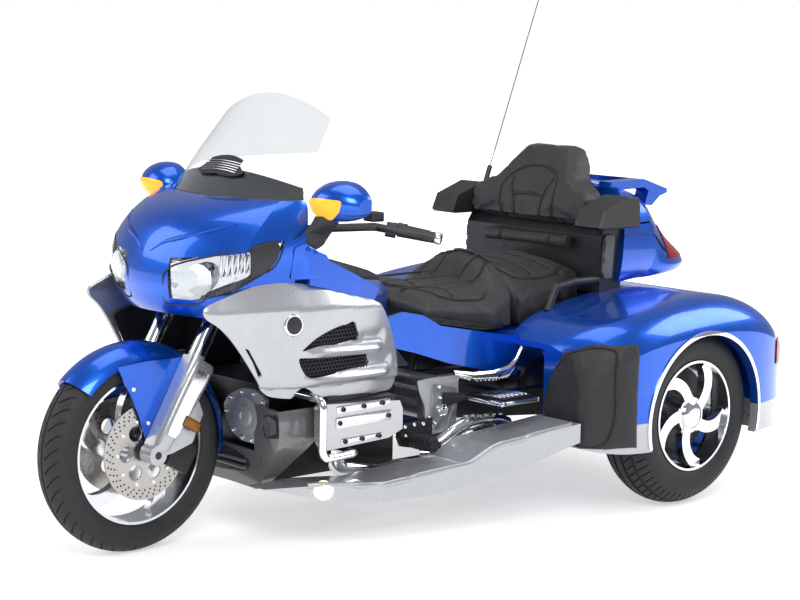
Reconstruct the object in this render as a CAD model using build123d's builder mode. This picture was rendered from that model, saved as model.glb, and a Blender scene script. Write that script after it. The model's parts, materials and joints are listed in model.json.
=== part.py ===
"""A three-wheeled touring motorcycle: a fully faired bike front end with a wide two-wheel rear body.

X runs forward, Y to the rider's left and Z up, in millimetres. The origin lies on the ground, midway along the
machine. A station is a distance back from the front axle.
"""
import os
from math import cos, radians, sin

from build123d import *

os.makedirs("parts", exist_ok=True)

# Clearances and walls shared by many pieces
shaft_gap = 0.05
seat_gap = 0.3
moving_gap = 6
seam = 3
shell_wall = 12
overrun = 20
reach = 3000

# Running gear
wheelbase = 1850
rear_overhang = 551
front_tyre_radius = 319.5
front_tyre_width = 130
front_rim_radius = 228
front_rim_width = 104
front_hub_radius = 34
rear_tyre_radius = 313.5
rear_tyre_width = 205
rear_rim_radius = 190
rear_rim_width = 186
rear_wheel_y = 600
rear_hub_radius = 62
rim_wall = 8
spoke_count = 5
spoke_width = 40
spoke_depth = 30
tyre_crown_share = 0.16
tyre_tread_share = 0.82
tyre_bead_share = 0.84
spoke_bend_share = 0.55
spoke_lead_share = 0.2

# Steering and fork
rake = 29.25
fork_offset = 61
leg_y = 118
leg_radius = 27
stanchion_radius = 22.5
leg_length = 330
lower_yoke_height = 805
upper_yoke_height = 985
yoke_thickness = 28
stem_radius = 17
head_wall = 14
axle_radius = 12
disc_radius = 148
disc_bore = 105
disc_thickness = 5

axle_lug_share = 1.15
fin_y = leg_y - leg_radius - 1.2
fin_width = 44
fin_start = (-46, 318)
fin_size = (134, 350)
fin_shares = (
    (0.80, 0.00), (1.00, 0.10), (1.00, 0.95), (0.62, 0.95), (0.40, 0.66), (0.05, 0.55), (0.00, 0.28),
    (0.40, 0.12),
)
yoke_back = 34
yoke_rim = 6

caliper_back = 118
caliper_up = 40
caliper_bridge = 16
disc_face_y = 67.5
bar_radius = 13
bar_bend = 60
bar_root_station = 420
bar_root_height = 975
bar_step = 20
bar_root_half = 110
bar_grip_station = 768
bar_sweep = 40
bar_grip_y = 285
bar_grip_height = 985
bar_end_station = 864
bar_end_y = 420
bar_end_height = 955
riser_length = 60
riser_width = 120
riser_height = 96

# Nose, lamps and screen; the nose's rows are height, tip, side and root stations, side and root half widths
nose_start = (725, 40, 120, 320, 230, 250)
nose_size = (360, 220, 210, 75, 100, 120)
nose_shares = (
    (0.00, 0.25, 0.30, 0.00, 0.10, 0.00),
    (0.22, 0.03, 0.12, 0.40, 0.70, 0.60),
    (0.50, 0.05, 0.18, 0.60, 1.00, 0.95),
    (0.74, 0.20, 0.45, 0.80, 1.00, 1.00),
    (1.00, 1.00, 1.00, 1.00, 0.70, 0.80),
)
lamp_start = (0, 785)
lamp_size = (308, 187)
lamp_shares = ((0.00, 0.00), (0.10, 0.64), (1.00, 1.00), (0.83, 0.51), (0.31, 0.03))
lamp_inner_y = 110
screen_station = 268
screen_edge_station = 395
screen_half = 320
screen_foot = nose_start[0] + nose_size[0] + seat_gap
screen_wall = 4
screen_length = 460
screen_lean = 41.6
screen_shoulder = 1330
screen_top_half = 255
screen_top = 1396
garnish_wall = 8
garnish_shoulder = 1120
garnish_half = 300
garnish_top = 1165
vent_wall = 8
vent_foot = 1168
vent_shoulder = 1192
vent_half = 75
vent_top = 1204

# Side fairings
side_fairing_start = (45, 465)
side_fairing_size = (759, 384)
side_fairing_shares = (
    (0.00, 0.80), (0.17, 0.93), (0.31, 1.00), (0.36, 0.99), (0.55, 0.90), (0.85, 0.74), (0.97, 0.37), (1.00, 0.18),
    (0.99, 0.05), (0.96, 0.00), (0.71, 0.03), (0.50, 0.05), (0.49, 0.10), (0.45, 0.15), (0.41, 0.12), (0.39, 0.06),
    (0.27, 0.10), (0.21, 0.27), (0.12, 0.54), (0.06, 0.67), (0.01, 0.74),
)
side_bow = ((20, 292), (430, 388), (800, 335))
side_wall = 16
upper_vent_start = (360, 634)
upper_vent_size = (234, 78)
upper_vent_shares = (
    (0.00, 0.00), (0.22, 0.48), (0.53, 0.82), (0.88, 1.00), (1.00, 0.38), (0.97, 0.18), (0.40, 0.05),
)
lower_vent_start = (350, 545)
lower_vent_size = (296, 69)
lower_vent_shares = (
    (0.00, 1.00), (0.70, 0.97), (0.94, 0.96), (1.00, 0.30), (0.96, 0.14), (0.35, 0.03), (0.13, 0.00),
    (0.04, 0.54),
)
mesh_start = (340, 535)
mesh_size = (325, 185)
mesh_shares = ((0.00, 0.00), (1.00, 0.00), (1.00, 1.00), (0.00, 1.00))
mesh_wall = 6

# Frame
spar_start = (335, 480.3)
spar_size = (745, 319)
spar_shares = (
    (0.05, 0.94), (0.17, 0.94), (0.24, 0.50), (0.80, 0.50), (1.00, 0.00), (0.82, 0.00), (0.78, 0.08), (0.27, 0.08),
    (0.09, 0.50),
)
spar_y = 40
spar_width = 40
gusset_length = 70
gusset_height = 90

# Lower cowl; rows as the nose's
cowl_start = (178, 322, 300, 430, 190, 210)
cowl_size = (270, 30, 40, 30, 150, 130)
cowl_shares = (
    (0.00, 1.00, 1.00, 0.00, 0.00, 0.00),
    (0.25, 0.60, 0.60, 0.40, 0.50, 0.50),
    (0.60, 0.50, 0.20, 1.00, 0.95, 1.00),
    (1.00, 0.50, 0.00, 1.00, 1.00, 1.00),
)
cowl_mouth_floor = 300
cowl_mouth_half = 195
fog_y = 275
fog_height = 392
fog_radius = 34
fog_rear = 385
cowl_cut_start = (295, 178)
cowl_cut_size = (165, 270)
cowl_cut_shares = ((0.00, 1.00), (0.96, 1.00), (1.00, 0.67), (0.63, 0.38), (0.40, 0.00), (0.00, 0.00))

# Engine and frame
engine_station = 374
engine_height = 195
engine_size = (540, 380, 305)
bank_station = 464
bank_height = 330
bank_size = (290, 740, 130)
valve_cover_start = (418, 322)
valve_cover_size = (339, 145)
valve_cover_shares = (
    (0.03, 1.00), (0.96, 0.86), (1.00, 0.67), (1.00, 0.22), (0.83, 0.07), (0.07, 0.00), (0.01, 0.19), (0.00, 0.88),
)
valve_cover_depth = 34
guard_radius = 12.7
guard_bend = 30
guard_start = (405, engine_size[1] / 2 + seat_gap, 304)
guard_size = (150, 238, 184)
guard_shares = (
    (0.00, 0.00, 1.00), (0.00, 1.00, 1.00), (0.00, 1.00, 0.00), (1.00, 0.95, 0.00), (1.00, 0.00, 0.00),
)

shelter_floor = 640
saddle_half = 300
saddle_rear = 1765
saddle_floor = 600

# Shelter, seats and backrest; rows of station, half width, floor, shoulder and crown
shelter_start = (480, 130, shelter_floor, 690, 790)
shelter_size = (444.7, 170, 0, 130, 90)
shelter_shares = (
    (0.00, 1.00, 1.00, 0.90, 1.00),
    (0.45, 0.85, 0.80, 0.60, 0.60),
    (1.00, 0.05, 0.60, 0.50, 0.10),
)
rider_seat_start = (925, 120, saddle_floor + seat_gap, 650, 770)
rider_seat_size = (480, 160, 96, 110, 110)
rider_seat_shares = (
    (0.00, 0.10, 1.00, 0.90, 0.10),
    (0.15, 0.75, 0.60, 0.40, 0.00),
    (0.80, 1.00, 0.00, 0.10, 0.10),
    (1.00, 1.00, 0.00, 0.60, 1.00),
)
passenger_seat_start = (1406, 230, saddle_floor + seat_gap, 690, 800)
passenger_seat_size = (340, 50, 0, 90, 34)
passenger_seat_shares = (
    (0.00, 1.00, 0.00, 0.00, 0.20),
    (0.60, 0.90, 0.80, 0.60, 0.40),
    (1.00, 0.60, 1.00, 0.90, 1.00),
)
backrest_half = 290
backrest_start = (1690, 934.6)
backrest_size = (220, 283)
backrest_shares = (
    (0.00, 0.00), (0.10, 0.40), (0.66, 0.97), (0.85, 1.00), (1.00, 0.94), (0.90, 0.70), (0.66, 0.42), (0.64, 0.00)
)
backrest_front_start = (100, 934.6)
backrest_front_size = (190, 283)
backrest_front_shares = (
    (0.84, 0.00), (1.00, 0.08), (1.00, 0.30), (0.90, 0.42), (0.53, 0.58), (0.33, 0.80), (0.16, 0.93), (0.00, 1.00),
)
lumbar_half = 215
lumbar_depth = 28
lumbar_rise = 34
lumbar_height = 872

# Trunk; rows as the nose's, its tip being the tail
trunk_start = (735, 1960, 1900, 1830, 120, 280)
trunk_size = (325, 440, 200, 50, 210, 70)
trunk_shares = (
    (0.00, 0.60, 0.30, 0.00, 0.80, 0.80),
    (0.14, 1.00, 0.60, 0.10, 1.00, 1.00),
    (0.40, 0.75, 0.70, 0.30, 1.00, 1.00),
    (0.65, 0.55, 0.60, 0.60, 0.95, 0.80),
    (1.00, 0.05, 0.10, 1.00, 0.60, 0.00),
)
trunk_wall = 8
lid_line = 940
hinge_y = 150
hinge_length = 70
hinge_radius = 7
lid_hinge_station = 1883.75
lid_hinge_height = 1050
door_hinge_station = 2370.75
door_hinge_height = 524

# Rear body; its rows are station, half width, floor, shoulder and crown
body_half_width = 742
body_floor = 232
arch_radius = 285
well_radius = 345
well_depth = 250
body_front = 1340
body_start = (body_front, 450, body_floor, 400, 480)
body_size = (wheelbase + rear_overhang - body_front, body_half_width - 450, 40, 200, 235)
body_shares = (
    (0.00, 0.62, 0.50, 0.15, 0.42),
    (0.17, 0.98, 0.00, 0.82, 0.80),
    (0.48, 1.00, 0.00, 1.00, 1.00),
    (0.74, 0.99, 0.00, 0.92, 0.90),
    (0.92, 0.80, 0.30, 0.55, 0.45),
    (1.00, 0.50, 1.00, 0.10, 0.00),
)
cavity_station = 1300
cavity_length = 715
cavity_half = 460
cavity_top = 560
boot_station = 2030
boot_floor = 345
boot_size = (300, 700, 190)
door_station = 2318
door_foot = 340
door_height = 200
door_width = 760
door_wall = 30
skirt_line = 330
bracket_station = 2392
bracket_floor = 2380
bracket_depth = 50
bracket_width = 184
bracket_rise = 92
bracket_height = 470
bracket_hole_width = 146
bracket_hole_rise = 70
bracket_hole_radius = 3.5
body_round_share = 1.2
knee_share = 0.2

# Mirrors, dash and covers
mirror_start = (352, 455, 1086, 20, 12)
mirror_size = (190, 10, 8, 60, 46)
mirror_shares = ((0.00, -1.00, -1.00, 0.10, 0.10), (0.18, -0.50, 0.00, 0.85, 0.85), (0.65, 0.50, 0.50, 1.00, 1.00),
                 (1.00, 1.00, -0.50, 0.15, 0.20))
mirror_cut = 30
mirror_glass_wall = 3
mirror_glass_y = 452
mirror_glass_half = 74
mirror_glass_rise = 42
arm_foot = 960
arm_top = 1062
arm_y = 358
arm_lean = 40
arm_length = 70
arm_width = 26
arm_taper_share = 0.8
dash_station = 372
dash_depth = 20
dash_foot = 1000
dash_height = 70
dash_half = 300
dash_shares = ((0.00, 0.00), (1.00, 0.00), (1.00, 0.60), (0.60, 1.00), (0.00, 1.00))
side_cover_start = (780, 455)
side_cover_size = (560, 250)
side_cover_shares = (
    (0.00, 0.58), (0.00, 0.94), (0.13, 1.00), (0.26, 0.94), (0.39, 0.78), (0.93, 0.56), (1.00, 0.57), (1.00, 0.00),
    (0.84, 0.07), (0.45, 0.28), (0.22, 0.45),
)
side_cover_bow = ((780, 288), (1080, 326), (1400, 336))
side_band_start = (395.3, 757)
side_band_size = (325, 188)
side_band_shares = (
    (0.00, 0.40), (0.00, 1.00), (0.21, 0.87), (0.26, 0.76), (0.63, 0.49), (1.00, 0.20), (0.92, 0.00), (0.20, 0.32),
)
side_band_bow = ((395, 369), (560, 352), (740, 318))
side_cover_wall = 14
pivot_plate_start = (940, 290)
pivot_plate_size = (160, 188.7)
pivot_plate_shares = ((0.00, 1.00), (1.00, 1.00), (0.94, 0.04), (0.12, 0.00), (0.00, 0.39))
pivot_plate_y = 303
pivot_plate_wall = 30
cross_tube_station = 1010
cross_tube_height = 360
upper_cross_height = 450
cross_tube_radius = 30
front_cover_station = 352
front_cover_y = 120
front_cover_height = 417
front_cover_radius = 62
front_cover_depth = 14
front_cap_radius = 26
front_cap_depth = 8
board_start = (285, 152)
board_size = (1035, 190)
board_shares = (
    (0.00, 0.27), (0.19, 0.04), (0.31, 0.00), (0.51, 0.03), (0.78, 0.32), (1.00, 0.67), (1.00, 1.00), (0.70, 0.75),
    (0.61, 0.48), (0.31, 0.27), (0.14, 0.32),
)
board_plan_start = (285, 220)
board_plan_size = (1035, 430)
board_plan_shares = (
    (0.00, 0.18), (0.19, 0.47), (0.31, 0.60), (0.78, 0.88), (1.00, 1.00), (1.00, 0.55), (0.20, 0.10),
    (0.00, 0.00),
)
arm_centre_y = 235
swingarm_width = 45
swingarm_depth = 60
swingarm_start = 0.3
swingarm_brace_station = 1400
axle_tube_half = 480
axle_tube_radius = 38
final_drive_radius = 110
carrier_start = (1746.3, 700)
carrier_size = (110, 234)
carrier_shares = ((0.00, 0.00), (0.00, 0.86), (0.20, 1.00), (1.00, 1.00), (1.00, 0.00))
carrier_half = 330
switch_start = (1752, 755)
switch_size = (56, 150)
switch_shares = (
    (0.20, 0.00), (0.00, 0.15), (0.10, 0.90), (0.20, 1.00), (0.95, 1.00), (1.00, 0.90), (0.85, 0.00),
)
switch_wall = 10
pod_start = (1640, 934.6)
pod_size = (212, 110)
pod_shares = (
    (0.00, 0.08), (0.12, 0.60), (0.70, 1.00), (0.95, 0.95), (1.00, 0.70), (1.00, 0.00), (0.06, 0.00),
)
pod_inner_y = 300
pod_outer_y = 418
pod_chamfer = 6
rail_start = (1500, 318, 660)
rail_size = (246, 0, 90)
rail_shares = ((0.00, 0.00, 0.00), (0.15, 0.00, 0.85), (0.50, 0.00, 1.00), (1.00, 0.00, 1.00))
rail_bend = 25
rail_radius = 14
spoiler_start = (1886, 985)
spoiler_size = (318, 97)
spoiler_shares = ((0.00, 0.40), (0.05, 0.95), (0.60, 1.00), (1.00, 0.60), (1.00, 0.45), (0.88, 0.35), (0.74, 0.00), (0.62, 0.05),
                  (0.68, 0.55), (0.60, 0.70), (0.25, 0.65), (0.15, 0.40))
wing_shares = ((0.60, 1.00), (1.00, 0.60), (1.00, 0.45), (0.72, 0.62), (0.60, 0.80))
spoiler_inner_y = 175
spoiler_outer_y = 235
lamp_rise = 5
tail_lamp_box = (2270, 130, 520, 720, 455, 540)
trunk_lamp_box = (2120, 260, 90, 330, 800, 915)
guard_rise = 7
stone_guard_box = (1300, 205, 462, 760, 250, 600)
trim_rise = 4
trim_width = 14
radiator_start = (475, 460.3)
radiator_size = (190, 235)
radiator_shares = ((0.00, 0.00), (1.00, 0.00), (1.00, 1.00), (0.00, 1.00))
radiator_wall = 40
pipe_start = (600, 262, 190)
pipe_size = (1715, 40, 139.7)
pipe_shares = (
    (0.00, 0.00, 1.00), (0.00, 0.00, 0.25), (0.10, 0.00, 0.00), (0.50, 0.00, 0.00), (0.80, 1.00, 0.00),
    (1.00, 1.00, 0.00),
)
pipe_bend = 40
pipe_radius = 27
peg_plate_start = (820, 262)
peg_plate_size = (150, 90)
peg_plate_shares = ((0.00, 0.45), (0.10, 0.90), (1.00, 1.00), (1.00, 0.40), (0.40, 0.00), (0.10, 0.10))
peg_plate_y = 318
peg_station = 865
peg_height = 292
peg_length = 46
peg_depth = 22
peg_corner = 6
peg_end_y = 445
foot_board_station = 1130
foot_board_length = 160
foot_board_y = 470
foot_board_height = 400
foot_board_wall = 16
hanger_start = (1020, 380)
hanger_size = (320, 60)
hanger_shares = ((0.00, 0.00), (0.00, 0.80), (0.30, 0.60), (1.00, 0.45), (1.00, 0.20), (0.30, 0.20))
grip_length = 120
grip_radius = 18
clamp_radius = 24
clamp_length = 34
mast_foot = (1835, -330, 1044)
mast_lean = 20.8
mast_base_radius = 9
mast_base_length = 60
mast_radius = 1.6
mast_length = 870

# Front fender
fender_half = 84
flap_start = (-110, 344)
flap_size = (250, 256)
flap_shares = (
    (0.00, 0.96), (0.20, 0.60), (0.32, 0.36), (0.44, 0.00), (0.56, 0.08), (0.68, 0.45), (1.00, 1.00), (0.40, 1.00)
)
flap_wall = 6
flap_seat = 1.5
stay_foot = 560
stay_height = 70
stay_length = 60
stay_width = 10
stay_y = fin_y - seat_gap - stay_width / 2
fender_drop = 40
fender_gap = 8
fender_wall = 5
fender_front_angle = 46
fender_rear_angle = 98

front_axle_x = (wheelbase + rear_overhang - front_tyre_radius) / 2
rear_axle_x = front_axle_x - wheelbase
rake_sin = sin(radians(rake))
rake_cos = cos(radians(rake))
trail = (front_tyre_radius * rake_sin - fork_offset) / rake_cos
axle_height = trail * rake_sin + front_tyre_radius * rake_cos

steer_plane = Plane(
    origin=(front_axle_x + trail, 0, 0), x_dir=(rake_cos, 0, rake_sin), z_dir=(-rake_sin, 0, rake_cos)
)


def side_plane(y):
    """A side view: local x runs forward from the front axle, local y up; it faces the machine's right."""
    return Plane(origin=(front_axle_x, y, 0), x_dir=(1, 0, 0), z_dir=(0, -1, 0))


def cross_plane(station):
    """A front view: local x runs to the left and local y up."""
    return Plane(origin=(front_axle_x - station, 0, 0), x_dir=(0, 1, 0), z_dir=(1, 0, 0))


def at(station, y):
    """A plan view point."""
    return (front_axle_x - station, y)


def spot(station, y, z):
    """A point in space."""
    return (front_axle_x - station, y, z)


def spread(shares, start, size):
    """Turns rows of shares into places: each column has a start and a size."""
    return [tuple(low + share * span for share, low, span in zip(row, start, size)) for row in shares]


def side_slab(outline, y_near, y_far):
    """A side view outline of stations and heights, as a slab."""
    with BuildPart() as slab:
        with BuildSketch(side_plane(y_far)):
            with BuildLine():
                Polyline(*[(-station, z) for station, z in outline], close=True)
            make_face()
        extrude(amount=y_far - y_near)
    return slab.part


def bowed_panel(outline, bow, thickness):
    """A side view outline cut from a bowed wall; bow holds three stations and widths of its outer face."""
    with BuildPart() as panel:
        with BuildSketch(side_plane(reach)):
            with BuildLine():
                Polyline(*[(-station, z) for station, z in outline], close=True)
            make_face()
        extrude(amount=reach)
        with BuildSketch(Plane.XY):
            with BuildLine():
                outer = ThreePointArc(*[at(station, y) for station, y in bow])
                inner = ThreePointArc(*[at(station, y - thickness) for station, y in bow])
                Line(outer @ 0, inner @ 0)
                Line(outer @ 1, inner @ 1)
            make_face()
        extrude(amount=reach, mode=Mode.INTERSECT)
    return panel.part


def stacked_form(rows):
    """Plan sections lofted upwards; rows of height, tip, side and root stations, side and root half widths."""
    with BuildPart() as form:
        for z, tip, side, root, half, root_half in rows:
            with BuildSketch(Plane.XY.offset(z)):
                with BuildLine():
                    ThreePointArc(at(side, -half), at(tip, 0), at(side, half))
                    Polyline(at(side, half), at(root, root_half), at(root, -root_half), at(side, -half))
                make_face()
        loft()
    return form.part


def crowned_form(rows, ruled=False):
    """Front view sections lofted along; rows of station, half width, floor, shoulder and crown."""
    with BuildPart() as form:
        for station, half, low, shoulder, crown in rows:
            with BuildSketch(cross_plane(station)):
                with BuildLine():
                    Polyline((-half, shoulder), (-half, low), (half, low), (half, shoulder))
                    ThreePointArc((half, shoulder), (0, crown), (-half, shoulder))
                make_face()
        loft(ruled=ruled)
    return form.part


def decked_form(rows, round_share):
    """As crowned_form, but with a flat deck at the crown's height between rounded shoulders."""
    with BuildPart() as form:
        for station, half, low, shoulder, crown in rows:
            deck = half - (crown - shoulder) * round_share
            knee = ((half + deck) / 2 + (crown - shoulder) * knee_share, (crown + shoulder) / 2 + (crown - shoulder) * knee_share)
            with BuildSketch(cross_plane(station)):
                with BuildLine():
                    Polyline((-half, shoulder), (-half, low), (half, low), (half, shoulder))
                    ThreePointArc((half, shoulder), knee, (deck, crown))
                    Line((deck, crown), (-deck, crown))
                    ThreePointArc((-deck, crown), (-knee[0], knee[1]), (-half, shoulder))
                make_face()
        loft()
    return form.part


def pod_form(rows):
    """Upright ellipses lofted sideways; rows of y, station, height, half length and half height."""
    with BuildPart() as pod:
        for y, station, z, half_length, half_height in rows:
            with BuildSketch(side_plane(y)):
                with Locations((-station, z)):
                    Ellipse(half_length, half_height)
        loft()
    return pod.part


def tube(points, bends, radius):
    """A round tube along straight runs with rounded corners."""
    with BuildPart() as pipe:
        with BuildLine() as path:
            FilletPolyline(*points, radius=bends)
        with BuildSketch(Plane(origin=path.line @ 0, z_dir=path.line % 0)):
            Circle(radius)
        sweep()
    return pipe.part


def polar(radius, degrees):
    """A point on a circle about the sketch's origin."""
    return (radius * cos(radians(degrees)), radius * sin(radians(degrees)))


# Wheels
def tyre_ring(radius, width, rim_radius, axle):
    """A tyre: bulged walls, a crowned tread and a bore seated just outside its rim."""
    inner = rim_radius + seat_gap
    half = width / 2
    shoulder = (half * tyre_tread_share, radius - width * tyre_crown_share)
    bead = half * tyre_bead_share
    with BuildPart() as ring:
        with BuildSketch(Plane(origin=axle, x_dir=(0, 1, 0), z_dir=(1, 0, 0))):
            with BuildLine():
                Line((-bead, inner), (bead, inner))
                ThreePointArc((bead, inner), (half, (inner + shoulder[1]) / 2), shoulder)
                ThreePointArc(shoulder, (0, radius), (-shoulder[0], shoulder[1]))
                ThreePointArc((-shoulder[0], shoulder[1]), (-half, (inner + shoulder[1]) / 2), (-bead, inner))
            make_face()
        revolve(axis=Axis(axle, (0, 1, 0)))
    return ring.part


def cast_wheel(rim_radius, rim_width, hub_radius, hub_width, bore, axle, sweep_angle, spoke_y):
    """A cast wheel: a flanged barrel, a bored hub and swept spokes."""
    half = rim_width / 2
    with BuildPart() as wheel:
        with BuildSketch(Plane(origin=axle, x_dir=(0, 1, 0), z_dir=(1, 0, 0))):
            with BuildLine():
                Polyline(
                    (-half, rim_radius - rim_wall),
                    (half, rim_radius - rim_wall),
                    (half, rim_radius),
                    (-half, rim_radius),
                    close=True,
                )
            make_face()
        revolve(axis=Axis(axle, (0, 1, 0)))
        hub_plane = Plane(origin=axle, x_dir=(1, 0, 0), z_dir=(0, -1, 0)).offset(-hub_width / 2)
        with BuildSketch(hub_plane):
            Circle(hub_radius)
        extrude(amount=hub_width)
        spoke_plane = Plane(origin=axle, x_dir=(1, 0, 0), z_dir=(0, -1, 0)).offset(-spoke_y - spoke_depth / 2)
        with BuildSketch(spoke_plane):
            for turn in range(spoke_count):
                lead = turn * 360 / spoke_count
                with BuildLine():
                    ThreePointArc(
                        polar(hub_radius / 2, lead),
                        polar(rim_radius * spoke_bend_share, lead + sweep_angle * spoke_lead_share),
                        polar(rim_radius - rim_wall / 2, lead + sweep_angle),
                    )
                trace(line_width=spoke_width)
        extrude(amount=spoke_depth)
        with BuildSketch(Plane(origin=axle, x_dir=(1, 0, 0), z_dir=(0, -1, 0))):
            Circle(rim_radius)
        extrude(amount=rim_width, both=True, mode=Mode.INTERSECT)
        with BuildSketch(hub_plane.offset(-overrun)):
            Circle(bore)
        extrude(amount=hub_width + 2 * overrun, mode=Mode.SUBTRACT)
    return wheel.part


front_hub_width = 140
rear_hub_width = 150
front_sweep = 34
rear_sweep = -34
rear_axle_radius = 22
rear_spoke_y = 62

front_axle_point = (front_axle_x, 0, front_tyre_radius)
rear_axle_points = {"left": (rear_axle_x, rear_wheel_y, rear_tyre_radius),
                    "right": (rear_axle_x, -rear_wheel_y, rear_tyre_radius)}

front_tyre_ring = tyre_ring(front_tyre_radius, front_tyre_width, front_rim_radius, front_axle_point)
with BuildPart() as front_tyre:
    add(front_tyre_ring)
front_tyre.part.label = "front_tyre"
export_step(front_tyre.part, "parts/front_tyre.step")

front_casting = cast_wheel(
    front_rim_radius, front_rim_width, front_hub_radius, front_hub_width, axle_radius + shaft_gap,
    front_axle_point, front_sweep, 0,
)
with BuildPart() as front_rim:
    add(front_casting)
front_rim.part.label = "front_rim"
export_step(front_rim.part, "parts/front_rim.step")

disc_window_radius = 24
disc_window_count = 6
disc_plane = Plane(origin=front_axle_point, x_dir=(1, 0, 0), z_dir=(0, -1, 0))
with BuildPart() as front_discs:
    for side in (-1, 1):
        inner_face = disc_plane.offset(side * (front_hub_width / 2) - (disc_thickness if side < 0 else 0))
        with BuildSketch(inner_face):
            Circle(disc_radius)
            Circle(axle_radius + moving_gap, mode=Mode.SUBTRACT)
            with PolarLocations((disc_bore + front_hub_radius) / 2, disc_window_count):
                Circle(disc_window_radius, mode=Mode.SUBTRACT)
        extrude(amount=disc_thickness)
front_discs.part.label = "front_discs"
export_step(front_discs.part, "parts/front_discs.step")

for side_name, axle in rear_axle_points.items():
    outward = 1 if side_name == "left" else -1
    ring = tyre_ring(rear_tyre_radius, rear_tyre_width, rear_rim_radius, axle)
    with BuildPart() as rear_tyre:
        add(ring)
    rear_tyre.part.label = f"rear_{side_name}_tyre"
    export_step(rear_tyre.part, f"parts/rear_{side_name}_tyre.step")
    casting = cast_wheel(
        rear_rim_radius, rear_rim_width, rear_hub_radius, rear_hub_width, rear_axle_radius + shaft_gap,
        axle, rear_sweep, outward * rear_spoke_y,
    )
    with BuildPart() as rear_rim:
        add(casting)
    rear_rim.part.label = f"rear_{side_name}_rim"
    export_step(rear_rim.part, f"parts/rear_{side_name}_rim.step")

# Steering
with BuildPart() as front_axle:
    with BuildSketch(Plane(origin=front_axle_point, x_dir=(1, 0, 0), z_dir=(0, 1, 0))):
        Circle(axle_radius)
    extrude(amount=leg_y + leg_radius, both=True)
front_axle.part.label = "front_axle"
export_step(front_axle.part, "parts/front_axle.step")

with BuildPart() as fork_legs:
    with BuildSketch(steer_plane.offset(axle_height)):
        with Locations((fork_offset, leg_y), (fork_offset, -leg_y)):
            Circle(leg_radius)
    extrude(amount=leg_length)
    with BuildSketch(steer_plane.offset(axle_height)):
        with Locations((fork_offset, leg_y), (fork_offset, -leg_y)):
            Circle(stanchion_radius)
    extrude(amount=upper_yoke_height + yoke_thickness - axle_height)
    for near in (fin_y, -fin_y - fin_width):
        with BuildSketch(Plane(origin=steer_plane.origin, x_dir=steer_plane.x_dir, z_dir=(0, -1, 0)).offset(-near)):
            Polygon(*spread(fin_shares, fin_start, fin_size), align=None)
        extrude(amount=-fin_width)
    for side in (-1, 1):
        with BuildSketch(disc_plane.offset(-side * leg_y)):
            Circle(leg_radius * axle_lug_share)
        extrude(amount=leg_radius, both=True)
    with BuildSketch(disc_plane):
        Circle(axle_radius + shaft_gap)
    extrude(amount=reach, both=True, mode=Mode.SUBTRACT)
fork_legs.part.label = "fork_legs"
export_step(fork_legs.part, "parts/fork_legs.step")

with BuildPart() as fork_yokes:
    for height in (lower_yoke_height, upper_yoke_height):
        with BuildSketch(steer_plane.offset(height)):
            with BuildLine():
                Polyline(
                    (-yoke_back, stem_radius + head_wall),
                    (fork_offset, leg_y + leg_radius + yoke_rim),
                    (fork_offset + leg_radius + yoke_rim, leg_y),
                    (fork_offset + leg_radius + yoke_rim, -leg_y),
                    (fork_offset, -leg_y - leg_radius - yoke_rim),
                    (-yoke_back, -stem_radius - head_wall),
                    close=True,
                )
            make_face()
            with Locations((fork_offset, leg_y), (fork_offset, -leg_y)):
                Circle(stanchion_radius + seat_gap, mode=Mode.SUBTRACT)
        extrude(amount=yoke_thickness)
    with BuildSketch(steer_plane.offset(lower_yoke_height)):
        Circle(stem_radius)
    extrude(amount=upper_yoke_height - lower_yoke_height)
fork_yokes.part.label = "fork_yokes"
export_step(fork_yokes.part, "parts/fork_yokes.step")

with BuildPart() as fork_covers:
    with BuildSketch(steer_plane.offset(axle_height + leg_length)):
        with Locations((fork_offset, leg_y), (fork_offset, -leg_y)):
            Circle(leg_radius)
            Circle(stanchion_radius + seat_gap, mode=Mode.SUBTRACT)
    extrude(amount=lower_yoke_height - leg_length - axle_height)
fork_covers.part.label = "fork_covers"
export_step(fork_covers.part, "parts/fork_covers.step")

with BuildPart() as front_fender:
    with BuildSketch(Plane(origin=front_axle_point, x_dir=(0, 1, 0), z_dir=(1, 0, 0))):
        with BuildLine():
            outer = ThreePointArc(
                (fender_half, front_tyre_radius - fender_drop),
                (0, front_tyre_radius + fender_gap + fender_wall),
                (-fender_half, front_tyre_radius - fender_drop),
            )
            inner = ThreePointArc(
                (fender_half - fender_wall, front_tyre_radius - fender_drop),
                (0, front_tyre_radius + fender_gap),
                (-fender_half + fender_wall, front_tyre_radius - fender_drop),
            )
            Line(outer @ 0, inner @ 0)
            Line(outer @ 1, inner @ 1)
        make_face()
    revolve(axis=Axis(front_axle_point, (0, -1, 0)), revolution_arc=fender_front_angle + fender_rear_angle)
with BuildPart() as fender_stays:
    with BuildSketch(steer_plane.offset(stay_foot)):
        with Locations((fork_offset, stay_y), (fork_offset, -stay_y)):
            Rectangle(stay_length, stay_width)
    extrude(amount=stay_height)
flap_outline = spread(flap_shares, flap_start, flap_size)
with BuildPart() as fender_flaps:
    for near in (fender_half - flap_seat, -fender_half + flap_seat - flap_wall):
        add(side_slab(flap_outline, near, near + flap_wall))
fender_turned = front_fender.part.rotate(Axis(front_axle_point, (0, 1, 0)), fender_front_angle)
with BuildPart() as fender_whole:
    add(fender_turned)
    add(fender_stays.part)
    add(fender_flaps.part)
fender_whole.part.label = "front_fender"
export_step(fender_whole.part, "parts/front_fender.step")

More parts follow.
